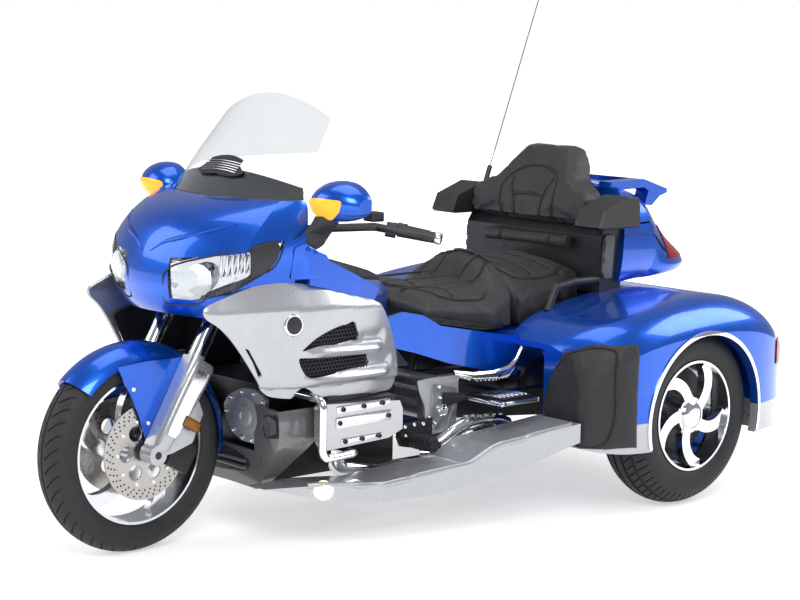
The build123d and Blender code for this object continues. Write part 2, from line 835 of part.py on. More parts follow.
caliper_size = (70, 44, 90)
caliper_slot = disc_thickness + 2 * moving_gap
with BuildPart() as calipers:
    for side in (-1, 1):
        centre = (fork_offset - caliper_back, side * disc_face_y, axle_height + caliper_up)
        with BuildSketch(steer_plane.offset(centre[2] - caliper_size[2] / 2)):
            with Locations((centre[0], centre[1])):
                Rectangle(caliper_size[0], caliper_size[1])
                Rectangle(caliper_size[0] + overrun, caliper_slot, mode=Mode.SUBTRACT)
            with Locations((centre[0] - caliper_size[0] / 2 - caliper_bridge / 2, centre[1])):
                Rectangle(caliper_bridge, caliper_size[1])
        extrude(amount=caliper_size[2])
calipers.part.label = "calipers"
export_step(calipers.part, "parts/calipers.step")

bar_points = [(station, y, z) for station, y, z in (
    (bar_root_station, 0, bar_root_height),
    (bar_root_station + bar_step, bar_root_half, bar_root_height),
    (bar_grip_station - bar_sweep, bar_grip_y, bar_grip_height),
    (bar_end_station, bar_end_y, bar_end_height),
)]
left_bar = tube([spot(*point) for point in bar_points], bar_bend, bar_radius)
with BuildPart() as handlebar:
    add(left_bar)
    mirror(about=Plane.XZ)
    with BuildSketch(steer_plane.offset(upper_yoke_height + yoke_thickness)):
        Rectangle(riser_length, riser_width)
    extrude(amount=riser_height)
handlebar.part.label = "handlebar"
export_step(handlebar.part, "parts/handlebar.step")

# Nose and fairings
nose_rows = spread(nose_shares, nose_start, nose_size)
nose_inner_shifts = (-overrun, 0, 0, 0, -shell_wall)
nose_outer = stacked_form(nose_rows)
nose_inner = stacked_form([
    (z + shift, tip + shell_wall, side + shell_wall, root + overrun, half - shell_wall, root_half - shell_wall)
    for (z, tip, side, root, half, root_half), shift in zip(nose_rows, nose_inner_shifts)
])
lamp_outline = spread(lamp_shares, lamp_start, lamp_size)
lamp_zone = side_slab(lamp_outline, lamp_inner_y, reach)
lamp_zones = lamp_zone + mirror(lamp_zone, about=Plane.XZ)
with BuildPart() as upper_fairing:
    add(nose_outer)
    add(nose_inner, mode=Mode.SUBTRACT)
    add(lamp_zones, mode=Mode.SUBTRACT)
upper_fairing.part.label = "upper_fairing"
export_step(upper_fairing.part, "parts/upper_fairing.step")

with BuildPart() as headlamps:
    add(nose_outer)
    add(nose_inner, mode=Mode.SUBTRACT)
    add(lamp_zones, mode=Mode.INTERSECT)
headlamps.part.label = "headlamps"
export_step(headlamps.part, "parts/headlamps.step")

def screen_band(set_back, thickness, foot, foot_half, shoulder, shoulder_half, top):
    """A piece of the screen's leaning curve, set back from its outer face and cut to a front view outline."""
    with BuildPart() as band:
        with BuildSketch(Plane.XY.offset(screen_foot)):
            with BuildLine():
                outer = ThreePointArc(
                    at(screen_edge_station + set_back, -screen_half),
                    at(screen_station + set_back, 0),
                    at(screen_edge_station + set_back, screen_half),
                )
                inner = ThreePointArc(
                    at(screen_edge_station + set_back + thickness, -screen_half),
                    at(screen_station + set_back + thickness, 0),
                    at(screen_edge_station + set_back + thickness, screen_half),
                )
                Line(outer @ 0, inner @ 0)
                Line(outer @ 1, inner @ 1)
            make_face()
        extrude(amount=screen_length, dir=(-sin(radians(screen_lean)), 0, cos(radians(screen_lean))))
        with BuildSketch(cross_plane(reach)):
            with BuildLine():
                Polyline(
                    (-shoulder_half, shoulder), (-foot_half, foot), (foot_half, foot), (shoulder_half, shoulder)
                )
                ThreePointArc((shoulder_half, shoulder), (0, top), (-shoulder_half, shoulder))
            make_face()
        extrude(amount=2 * reach, mode=Mode.INTERSECT)
    return band.part


screen_sheet = screen_band(0, screen_wall, screen_foot, screen_half, screen_shoulder, screen_top_half, screen_top)
with BuildPart() as windshield:
    add(screen_sheet)
windshield.part.label = "windshield"
export_step(windshield.part, "parts/windshield.step")

garnish_sheet = screen_band(
    screen_wall + seat_gap, garnish_wall, screen_foot, screen_half, garnish_shoulder, garnish_half, garnish_top
)
vent_sheet = screen_band(-vent_wall - seat_gap, vent_wall, vent_foot, vent_half, vent_shoulder, vent_half, vent_top)
with BuildPart() as screen_trim:
    add(garnish_sheet)
    add(vent_sheet)
screen_trim.part.label = "screen_trim"
export_step(screen_trim.part, "parts/screen_trim.step")

side_outline = spread(side_fairing_shares, side_fairing_start, side_fairing_size)
upper_vent = spread(upper_vent_shares, upper_vent_start, upper_vent_size)
lower_vent = spread(lower_vent_shares, lower_vent_start, lower_vent_size)
side_left = bowed_panel(side_outline, side_bow, side_wall)
vent_cuts = [side_slab(outline, 0, reach) for outline in (upper_vent, lower_vent)]
with BuildPart() as side_fairings:
    add(side_left)
    add(vent_cuts, mode=Mode.SUBTRACT)
    mirror(about=Plane.XZ)
side_fairings.part.label = "side_fairings"
export_step(side_fairings.part, "parts/side_fairings.step")

mesh_bow = [(station, y - side_wall - seat_gap) for station, y in side_bow]
mesh_outline = spread(mesh_shares, mesh_start, mesh_size)
mesh_left = bowed_panel(mesh_outline, mesh_bow, mesh_wall)
with BuildPart() as side_grilles:
    add(mesh_left)
    mirror(about=Plane.XZ)
side_grilles.part.label = "side_grilles"
export_step(side_grilles.part, "parts/side_grilles.step")

cowl_rows = spread(cowl_shares, cowl_start, cowl_size)
cowl_outer = stacked_form(cowl_rows)
cowl_inner = stacked_form([
    (z + shift, tip + shell_wall, side + shell_wall, root + overrun, half - shell_wall, root_half - shell_wall)
    for (z, tip, side, root, half, root_half), shift in zip(cowl_rows, (shell_wall, 0, 0, overrun))
])
with BuildPart() as lower_cowl:
    add(cowl_outer)
    with BuildSketch(side_plane(reach)):
        Polygon(*[(-station, z) for station, z in spread(cowl_cut_shares, cowl_cut_start, cowl_cut_size)], align=None)
    extrude(amount=2 * reach, mode=Mode.INTERSECT)
    add(cowl_inner, mode=Mode.SUBTRACT)
    with Locations(spot(cowl_start[1], 0, cowl_mouth_floor + reach / 2)):
        Box(reach, 2 * cowl_mouth_half, reach, mode=Mode.SUBTRACT)
    with BuildSketch(cross_plane(0)):
        with Locations((fog_y, fog_height), (-fog_y, fog_height)):
            RegularPolygon(fog_radius + seat_gap, 6)
    extrude(amount=reach, both=True, mode=Mode.SUBTRACT)
lower_cowl.part.label = "lower_cowl"
export_step(lower_cowl.part, "parts/lower_cowl.step")

with BuildPart() as fog_lamps:
    add(cowl_outer)
    with BuildSketch(cross_plane(0)):
        with Locations((fog_y, fog_height), (-fog_y, fog_height)):
            RegularPolygon(fog_radius, 6)
    extrude(amount=fog_rear, both=True, mode=Mode.INTERSECT)
    with BuildSketch(side_plane(reach)):
        with Locations((-fog_rear / 2, fog_height)):
            Rectangle(fog_rear, 2 * fog_radius + 2 * seam)
    extrude(amount=2 * reach, mode=Mode.INTERSECT)
fog_lamps.part.label = "fog_lamps"
export_step(fog_lamps.part, "parts/fog_lamps.step")

# Engine and frame
with BuildPart() as engine_block:
    with Locations(spot(engine_station + engine_size[0] / 2, 0, engine_height + engine_size[2] / 2)):
        Box(*engine_size)
    with Locations(spot(bank_station + bank_size[0] / 2, 0, bank_height + bank_size[2] / 2)):
        Box(*bank_size)
engine_block.part.label = "engine_block"
export_step(engine_block.part, "parts/engine_block.step")

valve_outline = spread(valve_cover_shares, valve_cover_start, valve_cover_size)
with BuildPart() as valve_covers:
    add(side_slab(valve_outline, bank_size[1] / 2, bank_size[1] / 2 + valve_cover_depth))
    mirror(about=Plane.XZ)
valve_covers.part.label = "valve_covers"
export_step(valve_covers.part, "parts/valve_covers.step")

guard_points = [spot(station, y, z) for station, y, z in spread(guard_shares, guard_start, guard_size)]
left_guard = tube(guard_points, guard_bend, guard_radius)
with BuildPart() as engine_guards:
    add(left_guard)
    mirror(about=Plane.XZ)
engine_guards.part.label = "engine_guards"
export_step(engine_guards.part, "parts/engine_guards.step")

spar_outline = spread(spar_shares, spar_start, spar_size)
with BuildPart() as frame_spars:
    for near in (spar_y, -spar_y - spar_width):
        add(side_slab(spar_outline, near, near + spar_width))
    with BuildSketch(steer_plane.offset(lower_yoke_height + yoke_thickness + seat_gap)):
        with Locations((-gusset_length / 2, 0)):
            Rectangle(gusset_length, 2 * spar_y + spar_width)
    extrude(amount=gusset_height)
    with BuildSketch(steer_plane.offset(lower_yoke_height + yoke_thickness + seat_gap)):
        Circle(stem_radius + head_wall)
    extrude(amount=upper_yoke_height - lower_yoke_height - yoke_thickness - 2 * seat_gap)
    with BuildSketch(steer_plane):
        Circle(stem_radius + shaft_gap)
    extrude(amount=reach, mode=Mode.SUBTRACT)
frame_spars.part.label = "frame_spars"
export_step(frame_spars.part, "parts/frame_spars.step")

# Tank shelter, dash and seats
with BuildPart() as top_shelter:
    add(crowned_form(spread(shelter_shares, shelter_start, shelter_size)))
    add(frame_spars.part, mode=Mode.SUBTRACT)
top_shelter.part.label = "top_shelter"
export_step(top_shelter.part, "parts/top_shelter.step")

with BuildPart() as rider_seat:
    add(crowned_form(spread(rider_seat_shares, rider_seat_start, rider_seat_size), ruled=True))
rider_seat.part.label = "rider_seat"
export_step(rider_seat.part, "parts/rider_seat.step")

with BuildPart() as passenger_seat:
    add(crowned_form(spread(passenger_seat_shares, passenger_seat_start, passenger_seat_size), ruled=True))
passenger_seat.part.label = "passenger_seat"
export_step(passenger_seat.part, "parts/passenger_seat.step")

backrest_front = spread(backrest_front_shares, backrest_front_start, backrest_front_size)
with BuildPart() as passenger_backrest:
    with BuildSketch(side_plane(backrest_half)):
        Polygon(
            *[(-station, z) for station, z in spread(backrest_shares, backrest_start, backrest_size)], align=None
        )
    extrude(amount=2 * backrest_half)
    with BuildSketch(cross_plane(reach)):
        Polygon(*backrest_front, *[(-y, z) for y, z in reversed(backrest_front)], align=None)
    extrude(amount=2 * reach, mode=Mode.INTERSECT)
    with BuildSketch(side_plane(lumbar_half)):
        with Locations((-carrier_start[0] + seat_gap + lumbar_depth, lumbar_height)):
            Ellipse(lumbar_depth, lumbar_rise)
    extrude(amount=2 * lumbar_half)
passenger_backrest.part.label = "passenger_backrest"
export_step(passenger_backrest.part, "parts/passenger_backrest.step")

# Trunk
trunk_rows = spread(trunk_shares, trunk_start, trunk_size)
trunk_outer = stacked_form(trunk_rows)
trunk_inner = stacked_form([
    (z + shift, tip - trunk_wall, side - trunk_wall, root + trunk_wall, half - trunk_wall, root_half - trunk_wall)
    for (z, tip, side, root, half, root_half), shift in zip(trunk_rows, (trunk_wall, 0, 0, 0, -trunk_wall))
])
with BuildPart() as trunk_body:
    add(trunk_outer)
    add(trunk_inner, mode=Mode.SUBTRACT)
    split(bisect_by=Plane.XY.offset(lid_line - moving_gap), keep=Keep.BOTTOM)
trunk_body.part.label = "trunk_body"
export_step(trunk_body.part, "parts/trunk_body.step")

with BuildPart() as trunk_lid:
    add(trunk_outer)
    add(trunk_inner, mode=Mode.SUBTRACT)
    split(bisect_by=Plane.XY.offset(lid_line), keep=Keep.TOP)
    for side in (-1, 1):
        with BuildSketch(side_plane(side * hinge_y + hinge_length / 2)):
            with Locations((-lid_hinge_station, lid_hinge_height)):
                Circle(hinge_radius)
        extrude(amount=hinge_length)
trunk_lid.part.label = "trunk_lid"
export_step(trunk_lid.part, "parts/trunk_lid.step")

# Rear body
body_rows = spread(body_shares, body_start, body_size)
body_outer = decked_form(body_rows, body_round_share)
with BuildPart() as body_form:
    add(body_outer)
    for side in (-1, 1):
        with BuildSketch(side_plane(side * (rear_wheel_y + rear_tyre_width / 2 + moving_gap) + (well_depth if side < 0 else 0))):
            with Locations((-wheelbase, rear_tyre_radius)):
                Circle(well_radius)
        extrude(amount=well_depth, mode=Mode.SUBTRACT)
    with BuildSketch(side_plane(reach)):
        with Locations((-wheelbase, rear_tyre_radius)):
            Circle(arch_radius)
    extrude(amount=reach - rear_wheel_y, mode=Mode.SUBTRACT)
    with BuildSketch(side_plane(-rear_wheel_y)):
        with Locations((-wheelbase, rear_tyre_radius)):
            Circle(arch_radius)
    extrude(amount=reach - rear_wheel_y, mode=Mode.SUBTRACT)
    with Locations(spot(boot_station + boot_size[0] / 2, 0, boot_floor + boot_size[2] / 2)):
        Box(*boot_size, mode=Mode.SUBTRACT)
    with Locations(spot(door_station - moving_gap + reach / 2, 0, door_foot + door_height / 2)):
        Box(reach, door_width, door_height, mode=Mode.SUBTRACT)
    with Locations(spot(cavity_station + cavity_length / 2, 0, cavity_top / 2)):
        Box(cavity_length, 2 * cavity_half, cavity_top, mode=Mode.SUBTRACT)
    with Locations(spot(saddle_rear - reach / 2, 0, saddle_floor + reach / 2)):
        Box(reach, 2 * saddle_half, reach, mode=Mode.SUBTRACT)
with BuildPart() as door_form:
    add(body_outer)
    with Locations(spot(bracket_floor + reach / 2, 0, bracket_height)):
        Box(reach, bracket_width + 2 * seam, bracket_rise + 2 * seam, mode=Mode.SUBTRACT)
with BuildPart() as bracket_holes:
    with BuildSketch(cross_plane(bracket_station)):
        with Locations((0, bracket_height)):
            with GridLocations(bracket_hole_width, bracket_hole_rise, 2, 2):
                Circle(bracket_hole_radius)
    extrude(amount=2 * bracket_depth, both=True)
with BuildPart() as boot_door:
    add(door_form.part)
    with Locations(spot(door_station + reach / 2, 0, door_foot + door_height / 2)):
        Box(reach, door_width - 2 * moving_gap, door_height - 2 * moving_gap, mode=Mode.INTERSECT)
    add(body_outer.moved(Location((door_wall, 0, 0))), mode=Mode.SUBTRACT)
    add(bracket_holes.part, mode=Mode.SUBTRACT)
    for side in (-1, 1):
        with BuildSketch(side_plane(side * hinge_y + hinge_length / 2)):
            with Locations((-door_hinge_station, door_hinge_height)):
                Circle(hinge_radius)
        extrude(amount=hinge_length)
boot_door.part.label = "boot_door"
export_step(boot_door.part, "parts/boot_door.step")

with BuildPart() as plate_bracket:
    with Locations(spot(bracket_station - bracket_depth / 2, 0, bracket_height)):
        Box(bracket_depth, bracket_width, bracket_rise)
    add(door_form.part, mode=Mode.SUBTRACT)
    add(bracket_holes.part, mode=Mode.SUBTRACT)
plate_bracket.part.label = "plate_bracket"
export_step(plate_bracket.part, "parts/plate_bracket.step")

with BuildPart() as rear_body:
    add(body_form.part)
    split(bisect_by=Plane.XY.offset(skirt_line), keep=Keep.TOP)
rear_body.part.label = "rear_body"
export_step(rear_body.part, "parts/rear_body.step")

with BuildPart() as rear_skirts:
    add(body_form.part)
    split(bisect_by=Plane.XY.offset(skirt_line), keep=Keep.BOTTOM)
rear_skirts.part.label = "rear_skirts"
export_step(rear_skirts.part, "parts/rear_skirts.step")

# Mirrors, on the fairing
mirror_form = pod_form(spread(mirror_shares, mirror_start, mirror_size))
mirror_back = mirror_start[1] + mirror_cut
with BuildPart() as mirror_housings:
    add(mirror_form)
    split(bisect_by=cross_plane(mirror_back), keep=Keep.TOP)
    mirror(about=Plane.XZ)
mirror_housings.part.label = "mirror_housings"
export_step(mirror_housings.part, "parts/mirror_housings.step")

with BuildPart() as mirror_glasses:
    with BuildSketch(cross_plane(mirror_back + mirror_glass_wall)):
        with Locations((mirror_glass_y, mirror_start[2])):
            Ellipse(mirror_glass_half, mirror_glass_rise)
    extrude(amount=mirror_glass_wall)
    mirror(about=Plane.XZ)
mirror_glasses.part.label = "mirror_glasses"
export_step(mirror_glasses.part, "parts/mirror_glasses.step")

with BuildPart() as mirror_arms:
    with BuildSketch(Plane.XY.offset(arm_foot)):
        with Locations(at(mirror_start[1], arm_y)):
            Rectangle(arm_length, arm_width)
    with BuildSketch(Plane.XY.offset(arm_top)):
        with Locations(at(mirror_start[1], arm_y + arm_lean)):
            Rectangle(arm_length * arm_taper_share, arm_width * arm_taper_share)
    loft()
    add(mirror_form, mode=Mode.SUBTRACT)
    mirror(about=Plane.XZ)
mirror_arms.part.label = "mirror_arms"
export_step(mirror_arms.part, "parts/mirror_arms.step")

# Dash between the fairing and the bars
with BuildPart() as dash:
    with BuildSketch(cross_plane(dash_station)):
        Polygon(*spread(dash_shares, (0, dash_foot), (dash_half, dash_height)), align=None)
        mirror(about=Plane.YZ)
    extrude(amount=dash_depth)
dash.part.label = "dash"
export_step(dash.part, "parts/dash.step")

# Side covers under the seat
cover_outline = spread(side_cover_shares, side_cover_start, side_cover_size)
cover_left = bowed_panel(cover_outline, side_cover_bow, side_cover_wall)
band_left = bowed_panel(spread(side_band_shares, side_band_start, side_band_size), side_band_bow, side_cover_wall)
with BuildPart() as side_covers:
    add(cover_left)
    add(band_left)
    add(top_shelter.part, mode=Mode.SUBTRACT)
    add(body_outer, mode=Mode.SUBTRACT)
    mirror(about=Plane.XZ)
side_covers.part.label = "side_covers"
export_step(side_covers.part, "parts/side_covers.step")

pivot_outline = spread(pivot_plate_shares, pivot_plate_start, pivot_plate_size)
with BuildPart() as pivot_plates:
    add(side_slab(pivot_outline, pivot_plate_y - pivot_plate_wall, pivot_plate_y))
    mirror(about=Plane.XZ)
    with BuildSketch(side_plane(pivot_plate_y)):
        with Locations((-cross_tube_station, cross_tube_height), (-cross_tube_station, upper_cross_height)):
            Circle(cross_tube_radius)
    extrude(amount=2 * pivot_plate_y)
pivot_plates.part.label = "pivot_plates"
export_step(pivot_plates.part, "parts/pivot_plates.step")

# Engine covers at the front
with BuildPart() as engine_front_covers:
    for side in (-1, 1):
        with BuildSketch(cross_plane(front_cover_station)):
            with Locations((side * front_cover_y, front_cover_height)):
                Circle(front_cover_radius)
        extrude(amount=front_cover_depth)
        with BuildSketch(cross_plane(front_cover_station - front_cover_depth)):
            with Locations((side * front_cover_y, front_cover_height)):
                Circle(front_cap_radius)
        extrude(amount=front_cap_depth)
engine_front_covers.part.label = "engine_front_covers"
export_step(engine_front_covers.part, "parts/engine_front_covers.step")

# Running boards
board_outline = spread(board_shares, board_start, board_size)
board_left_form = side_slab(board_outline, 0, reach)
with BuildPart() as running_boards:
    add(board_left_form)
    with BuildSketch(Plane.XY):
        Polygon(*[at(station, y) for station, y in spread(board_plan_shares, board_plan_start, board_plan_size)],
                align=None)
    extrude(amount=reach, mode=Mode.INTERSECT)
    mirror(about=Plane.XZ)
running_boards.part.label = "running_boards"
export_step(running_boards.part, "parts/running_boards.step")

# Rear axle and trailing arms
with BuildPart() as swingarm:
    with BuildSketch(side_plane(arm_centre_y + swingarm_width / 2)):
        Polygon(
            (-cross_tube_station - cross_tube_radius - swingarm_start, cross_tube_height + swingarm_depth / 2),
            (-cross_tube_station - cross_tube_radius - swingarm_start, cross_tube_height - swingarm_depth / 2),
            (-wheelbase - swingarm_depth, rear_tyre_radius - swingarm_depth),
            (-wheelbase - swingarm_depth, rear_tyre_radius + swingarm_depth),
            align=None,
        )
    extrude(amount=swingarm_width)
    mirror(about=Plane.XZ)
    with Locations(spot(swingarm_brace_station, 0, cross_tube_height)):
        Box(swingarm_depth, 2 * arm_centre_y, swingarm_depth / 2)
    with BuildSketch(side_plane(arm_centre_y + swingarm_width)):
        with Locations((-wheelbase, rear_tyre_radius)):
            Circle(axle_tube_radius + seat_gap)
    extrude(amount=2 * (arm_centre_y + swingarm_width), mode=Mode.SUBTRACT)
swingarm.part.label = "swingarm"
export_step(swingarm.part, "parts/swingarm.step")

with BuildPart() as rear_axle:
    with BuildSketch(side_plane(rear_wheel_y + rear_hub_width / 2)):
        with Locations((-wheelbase, rear_tyre_radius)):
            Circle(rear_axle_radius)
    extrude(amount=2 * rear_wheel_y + rear_hub_width)
    with BuildSketch(side_plane(axle_tube_half)):
        with Locations((-wheelbase, rear_tyre_radius)):
            Circle(axle_tube_radius)
    extrude(amount=2 * axle_tube_half)
    with Locations(spot(wheelbase, 0, rear_tyre_radius)):
        Sphere(final_drive_radius)
rear_axle.part.label = "rear_axle"
export_step(rear_axle.part, "parts/rear_axle.step")

# Radio mast
with BuildPart() as radio_mast:
    with BuildSketch(Plane(origin=spot(*mast_foot), z_dir=(-sin(radians(mast_lean)), 0, cos(radians(mast_lean))))):
        Circle(mast_base_radius)
    extrude(amount=mast_base_length)
    with BuildSketch(Plane(origin=spot(*mast_foot), z_dir=(-sin(radians(mast_lean)), 0, cos(radians(mast_lean))))):
        Circle(mast_radius)
    extrude(amount=mast_length)
radio_mast.part.label = "radio_mast"
export_step(radio_mast.part, "parts/radio_mast.step")

# Trunk carrier, speaker pods and grab rails
with BuildPart() as trunk_carrier:
    add(side_slab(spread(carrier_shares, carrier_start, carrier_size), -carrier_half, carrier_half))
    add(trunk_outer, mode=Mode.SUBTRACT)
    add(body_outer, mode=Mode.SUBTRACT)
trunk_carrier.part.label = "trunk_carrier"
export_step(trunk_carrier.part, "parts/trunk_carrier.step")

with BuildPart() as switch_panels:
    add(side_slab(spread(switch_shares, switch_start, switch_size), carrier_half, carrier_half + switch_wall))
    mirror(about=Plane.XZ)
switch_panels.part.label = "switch_panels"
export_step(switch_panels.part, "parts/switch_panels.step")

pod_left = side_slab(spread(pod_shares, pod_start, pod_size), pod_inner_y, pod_outer_y)
with BuildPart() as speaker_pods:
    add(pod_left)
    chamfer(speaker_pods.faces().sort_by(Axis.Y)[-1].edges(), pod_chamfer)
    add(trunk_outer, mode=Mode.SUBTRACT)
    mirror(about=Plane.XZ)
speaker_pods.part.label = "speaker_pods"
export_step(speaker_pods.part, "parts/speaker_pods.step")

left_rail = tube([spot(*point) for point in spread(rail_shares, rail_start, rail_size)], rail_bend, rail_radius)
with BuildPart() as grab_rails:
    add(left_rail)
    add(body_outer, mode=Mode.SUBTRACT)
    mirror(about=Plane.XZ)
grab_rails.part.label = "grab_rails"
export_step(grab_rails.part, "parts/grab_rails.step")

# Spoiler on the trunk's lid
with BuildPart() as top_spoiler:
    add(side_slab(spread(spoiler_shares, spoiler_start, spoiler_size), spoiler_inner_y, spoiler_outer_y))
    mirror(about=Plane.XZ)
    add(side_slab(spread(wing_shares, spoiler_start, spoiler_size), -spoiler_outer_y, spoiler_outer_y))
    add(trunk_outer, mode=Mode.SUBTRACT)
top_spoiler.part.label = "top_spoiler"
export_step(top_spoiler.part, "parts/top_spoiler.step")

# Lamps and trims that lie on the bodies
def skin_patch(form, shift, station, length, y_near, y_far, low, high):
    """The part of a body's skin inside a box, thickened along the shift, on both sides."""
    with BuildPart() as patch:
        add(form.moved(Location(shift)))
        with Locations(spot(station + length / 2, (y_near + y_far) / 2, (low + high) / 2)):
            Box(length, y_far - y_near, high - low, mode=Mode.INTERSECT)
        add(form, mode=Mode.SUBTRACT)
    return patch.part


left_tail = skin_patch(body_outer, (-lamp_rise, lamp_rise / 2, 0), *tail_lamp_box)
left_trunk_lamp = skin_patch(trunk_outer, (-lamp_rise, lamp_rise / 2, 0), *trunk_lamp_box)
with BuildPart() as tail_lamps:
    add(left_tail)
    add(left_trunk_lamp)
    mirror(about=Plane.XZ)
tail_lamps.part.label = "tail_lamps"
export_step(tail_lamps.part, "parts/tail_lamps.step")

left_guard_patch = skin_patch(body_outer, (guard_rise, guard_rise / 2, 0), *stone_guard_box)
with BuildPart() as stone_guards:
    add(left_guard_patch)
    mirror(about=Plane.XZ)
stone_guards.part.label = "stone_guards"
export_step(stone_guards.part, "parts/stone_guards.step")

with BuildPart() as arch_trims:
    add(body_outer.moved(Location((0, trim_rise, 0))))
    with BuildSketch(side_plane(reach)):
        with Locations((-wheelbase, rear_tyre_radius)):
            Circle(arch_radius + trim_width)
            Circle(arch_radius, mode=Mode.SUBTRACT)
        with Locations((-wheelbase, body_floor / 2)):
            Rectangle(reach, body_floor + 2 * moving_gap, mode=Mode.SUBTRACT)
    extrude(amount=reach - rear_wheel_y, mode=Mode.INTERSECT)
    add(body_outer, mode=Mode.SUBTRACT)
    mirror(about=Plane.XZ)
arch_trims.part.label = "arch_trims"
export_step(arch_trims.part, "parts/arch_trims.step")

# Radiators behind the side vents
radiator_bow = [(station, y - mesh_wall - seat_gap) for station, y in mesh_bow]
radiator_left = bowed_panel(spread(radiator_shares, radiator_start, radiator_size), radiator_bow, radiator_wall)
with BuildPart() as radiators:
    add(radiator_left)
    mirror(about=Plane.XZ)
radiators.part.label = "radiators"
export_step(radiators.part, "parts/radiators.step")

# Exhaust pipes, pegs and foot boards
left_pipe = tube([spot(*point) for point in spread(pipe_shares, pipe_start, pipe_size)], pipe_bend, pipe_radius)
with BuildPart() as exhausts:
    add(left_pipe)
    mirror(about=Plane.XZ)
exhausts.part.label = "exhausts"
export_step(exhausts.part, "parts/exhausts.step")

with BuildPart() as foot_rests:
    add(side_slab(spread(peg_plate_shares, peg_plate_start, peg_plate_size), pivot_plate_y + seat_gap, peg_plate_y))
    with BuildSketch(side_plane(peg_end_y)):
        with Locations((-peg_station, peg_height)):
            RectangleRounded(peg_length, peg_depth, peg_corner)
    extrude(amount=peg_end_y - peg_plate_y)
    with Locations(spot(foot_board_station + foot_board_length / 2, (peg_plate_y + foot_board_y) / 2, foot_board_height)):
        Box(foot_board_length, foot_board_y - peg_plate_y, foot_board_wall)
    add(side_slab(spread(hanger_shares, hanger_start, hanger_size), pivot_plate_y + seat_gap, peg_plate_y))
    mirror(about=Plane.XZ)
foot_rests.part.label = "foot_rests"
export_step(foot_rests.part, "parts/foot_rests.step")

# Hand controls
with BuildPart() as hand_controls:
    grip_end = Vector(spot(bar_end_station, bar_end_y, bar_end_height))
    grip_start = Vector(spot(bar_grip_station - bar_sweep, bar_grip_y, bar_grip_height))
    grip_axis = (grip_end - grip_start).normalized()
    with BuildSketch(Plane(origin=grip_end - grip_axis * grip_length, z_dir=grip_axis)):
        Circle(grip_radius)
        Circle(bar_radius + seat_gap, mode=Mode.SUBTRACT)
    extrude(amount=grip_length)
    with BuildSketch(Plane(origin=grip_end - grip_axis * (grip_length + seam), z_dir=grip_axis)):
        Circle(clamp_radius)
        Circle(bar_radius + seat_gap, mode=Mode.SUBTRACT)
    extrude(amount=-clamp_length)
    mirror(about=Plane.XZ)
hand_controls.part.label = "hand_controls"
export_step(hand_controls.part, "parts/hand_controls.step")
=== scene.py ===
"""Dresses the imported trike, in metres: finishes, upholstery, treads, lamps, controls and fasteners."""
import json
from math import atan2, cos, pi, radians, sin, sqrt

import bmesh
import bpy
from mathutils import Matrix, Vector
from mathutils.bvhtree import BVHTree
from mathutils.geometry import delaunay_2d_cdt
from mathutils.kdtree import KDTree


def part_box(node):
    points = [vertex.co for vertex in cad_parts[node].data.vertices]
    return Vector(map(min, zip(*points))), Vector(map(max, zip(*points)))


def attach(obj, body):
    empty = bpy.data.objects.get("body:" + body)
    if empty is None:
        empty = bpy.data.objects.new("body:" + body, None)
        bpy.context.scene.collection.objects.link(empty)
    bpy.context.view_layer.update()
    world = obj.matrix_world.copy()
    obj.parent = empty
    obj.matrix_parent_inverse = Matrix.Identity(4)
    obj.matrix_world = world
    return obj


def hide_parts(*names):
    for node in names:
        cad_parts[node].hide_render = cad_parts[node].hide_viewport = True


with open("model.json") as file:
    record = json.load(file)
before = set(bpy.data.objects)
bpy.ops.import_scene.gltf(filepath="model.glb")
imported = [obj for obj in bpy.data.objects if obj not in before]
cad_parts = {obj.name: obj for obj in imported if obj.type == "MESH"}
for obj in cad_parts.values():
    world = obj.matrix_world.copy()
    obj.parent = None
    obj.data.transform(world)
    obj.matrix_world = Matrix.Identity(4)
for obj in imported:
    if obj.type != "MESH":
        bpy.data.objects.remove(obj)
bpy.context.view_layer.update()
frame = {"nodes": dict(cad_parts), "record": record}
nodes = frame["nodes"]

front_axle = Vector((1.04075, 0.0, 0.3195))
wheelbase = 1.85
fork_offset = 0.061
rear_axle_x = front_axle.x - wheelbase
rear_axle_z = 0.3135
rear_wheel_y = 0.6
front_tyre_width, front_bore = 0.130, 0.2285
rear_tyre_width, rear_bore = 0.205, 0.1905
rake = radians(29.25)
trail = (front_axle.z * sin(rake) - fork_offset) / cos(rake)


def at(station, y, z):
    """A point given by its distance behind the front axle, its side and its height."""
    return Vector((front_axle.x - station, y, z))


def on_fork(ahead, y, along):
    """A point by its distance ahead of the steering axis, to the side, and along it from the ground."""
    foot = Vector((front_axle.x + trail, 0.0, 0.0))
    forward = Vector((cos(rake), 0.0, sin(rake)))
    upward = Vector((-sin(rake), 0.0, cos(rake)))
    return foot + forward * ahead + upward * along + Vector((0.0, y, 0.0))


# Camera
def place_camera():
    """The camera that took the photo, fitted from the tyres, the discs and the ground."""
    yaw, pitch, roll = radians(-132.77), radians(-7.80), radians(1.23)
    focal_px, photo_width_px = 2063.0, 800.0
    look = Vector((cos(pitch) * cos(yaw), cos(pitch) * sin(yaw), sin(pitch)))
    right = look.cross(Vector((0, 0, 1))).normalized()
    up = right.cross(look)
    turned_right = right * cos(roll) + up * sin(roll)
    turned_up = -right * sin(roll) + up * cos(roll)
    data = bpy.data.cameras.new("camera")
    data.sensor_width = 36.0
    data.lens = focal_px * data.sensor_width / photo_width_px
    camera = bpy.data.objects.new("camera", data)
    bpy.context.scene.collection.objects.link(camera)
    turn = Matrix((turned_right, turned_up, -look)).transposed()
    camera.matrix_world = Matrix.Translation((4.641, 5.09, 1.64)) @ turn.to_4x4()
    bpy.context.scene.camera = camera


place_camera()


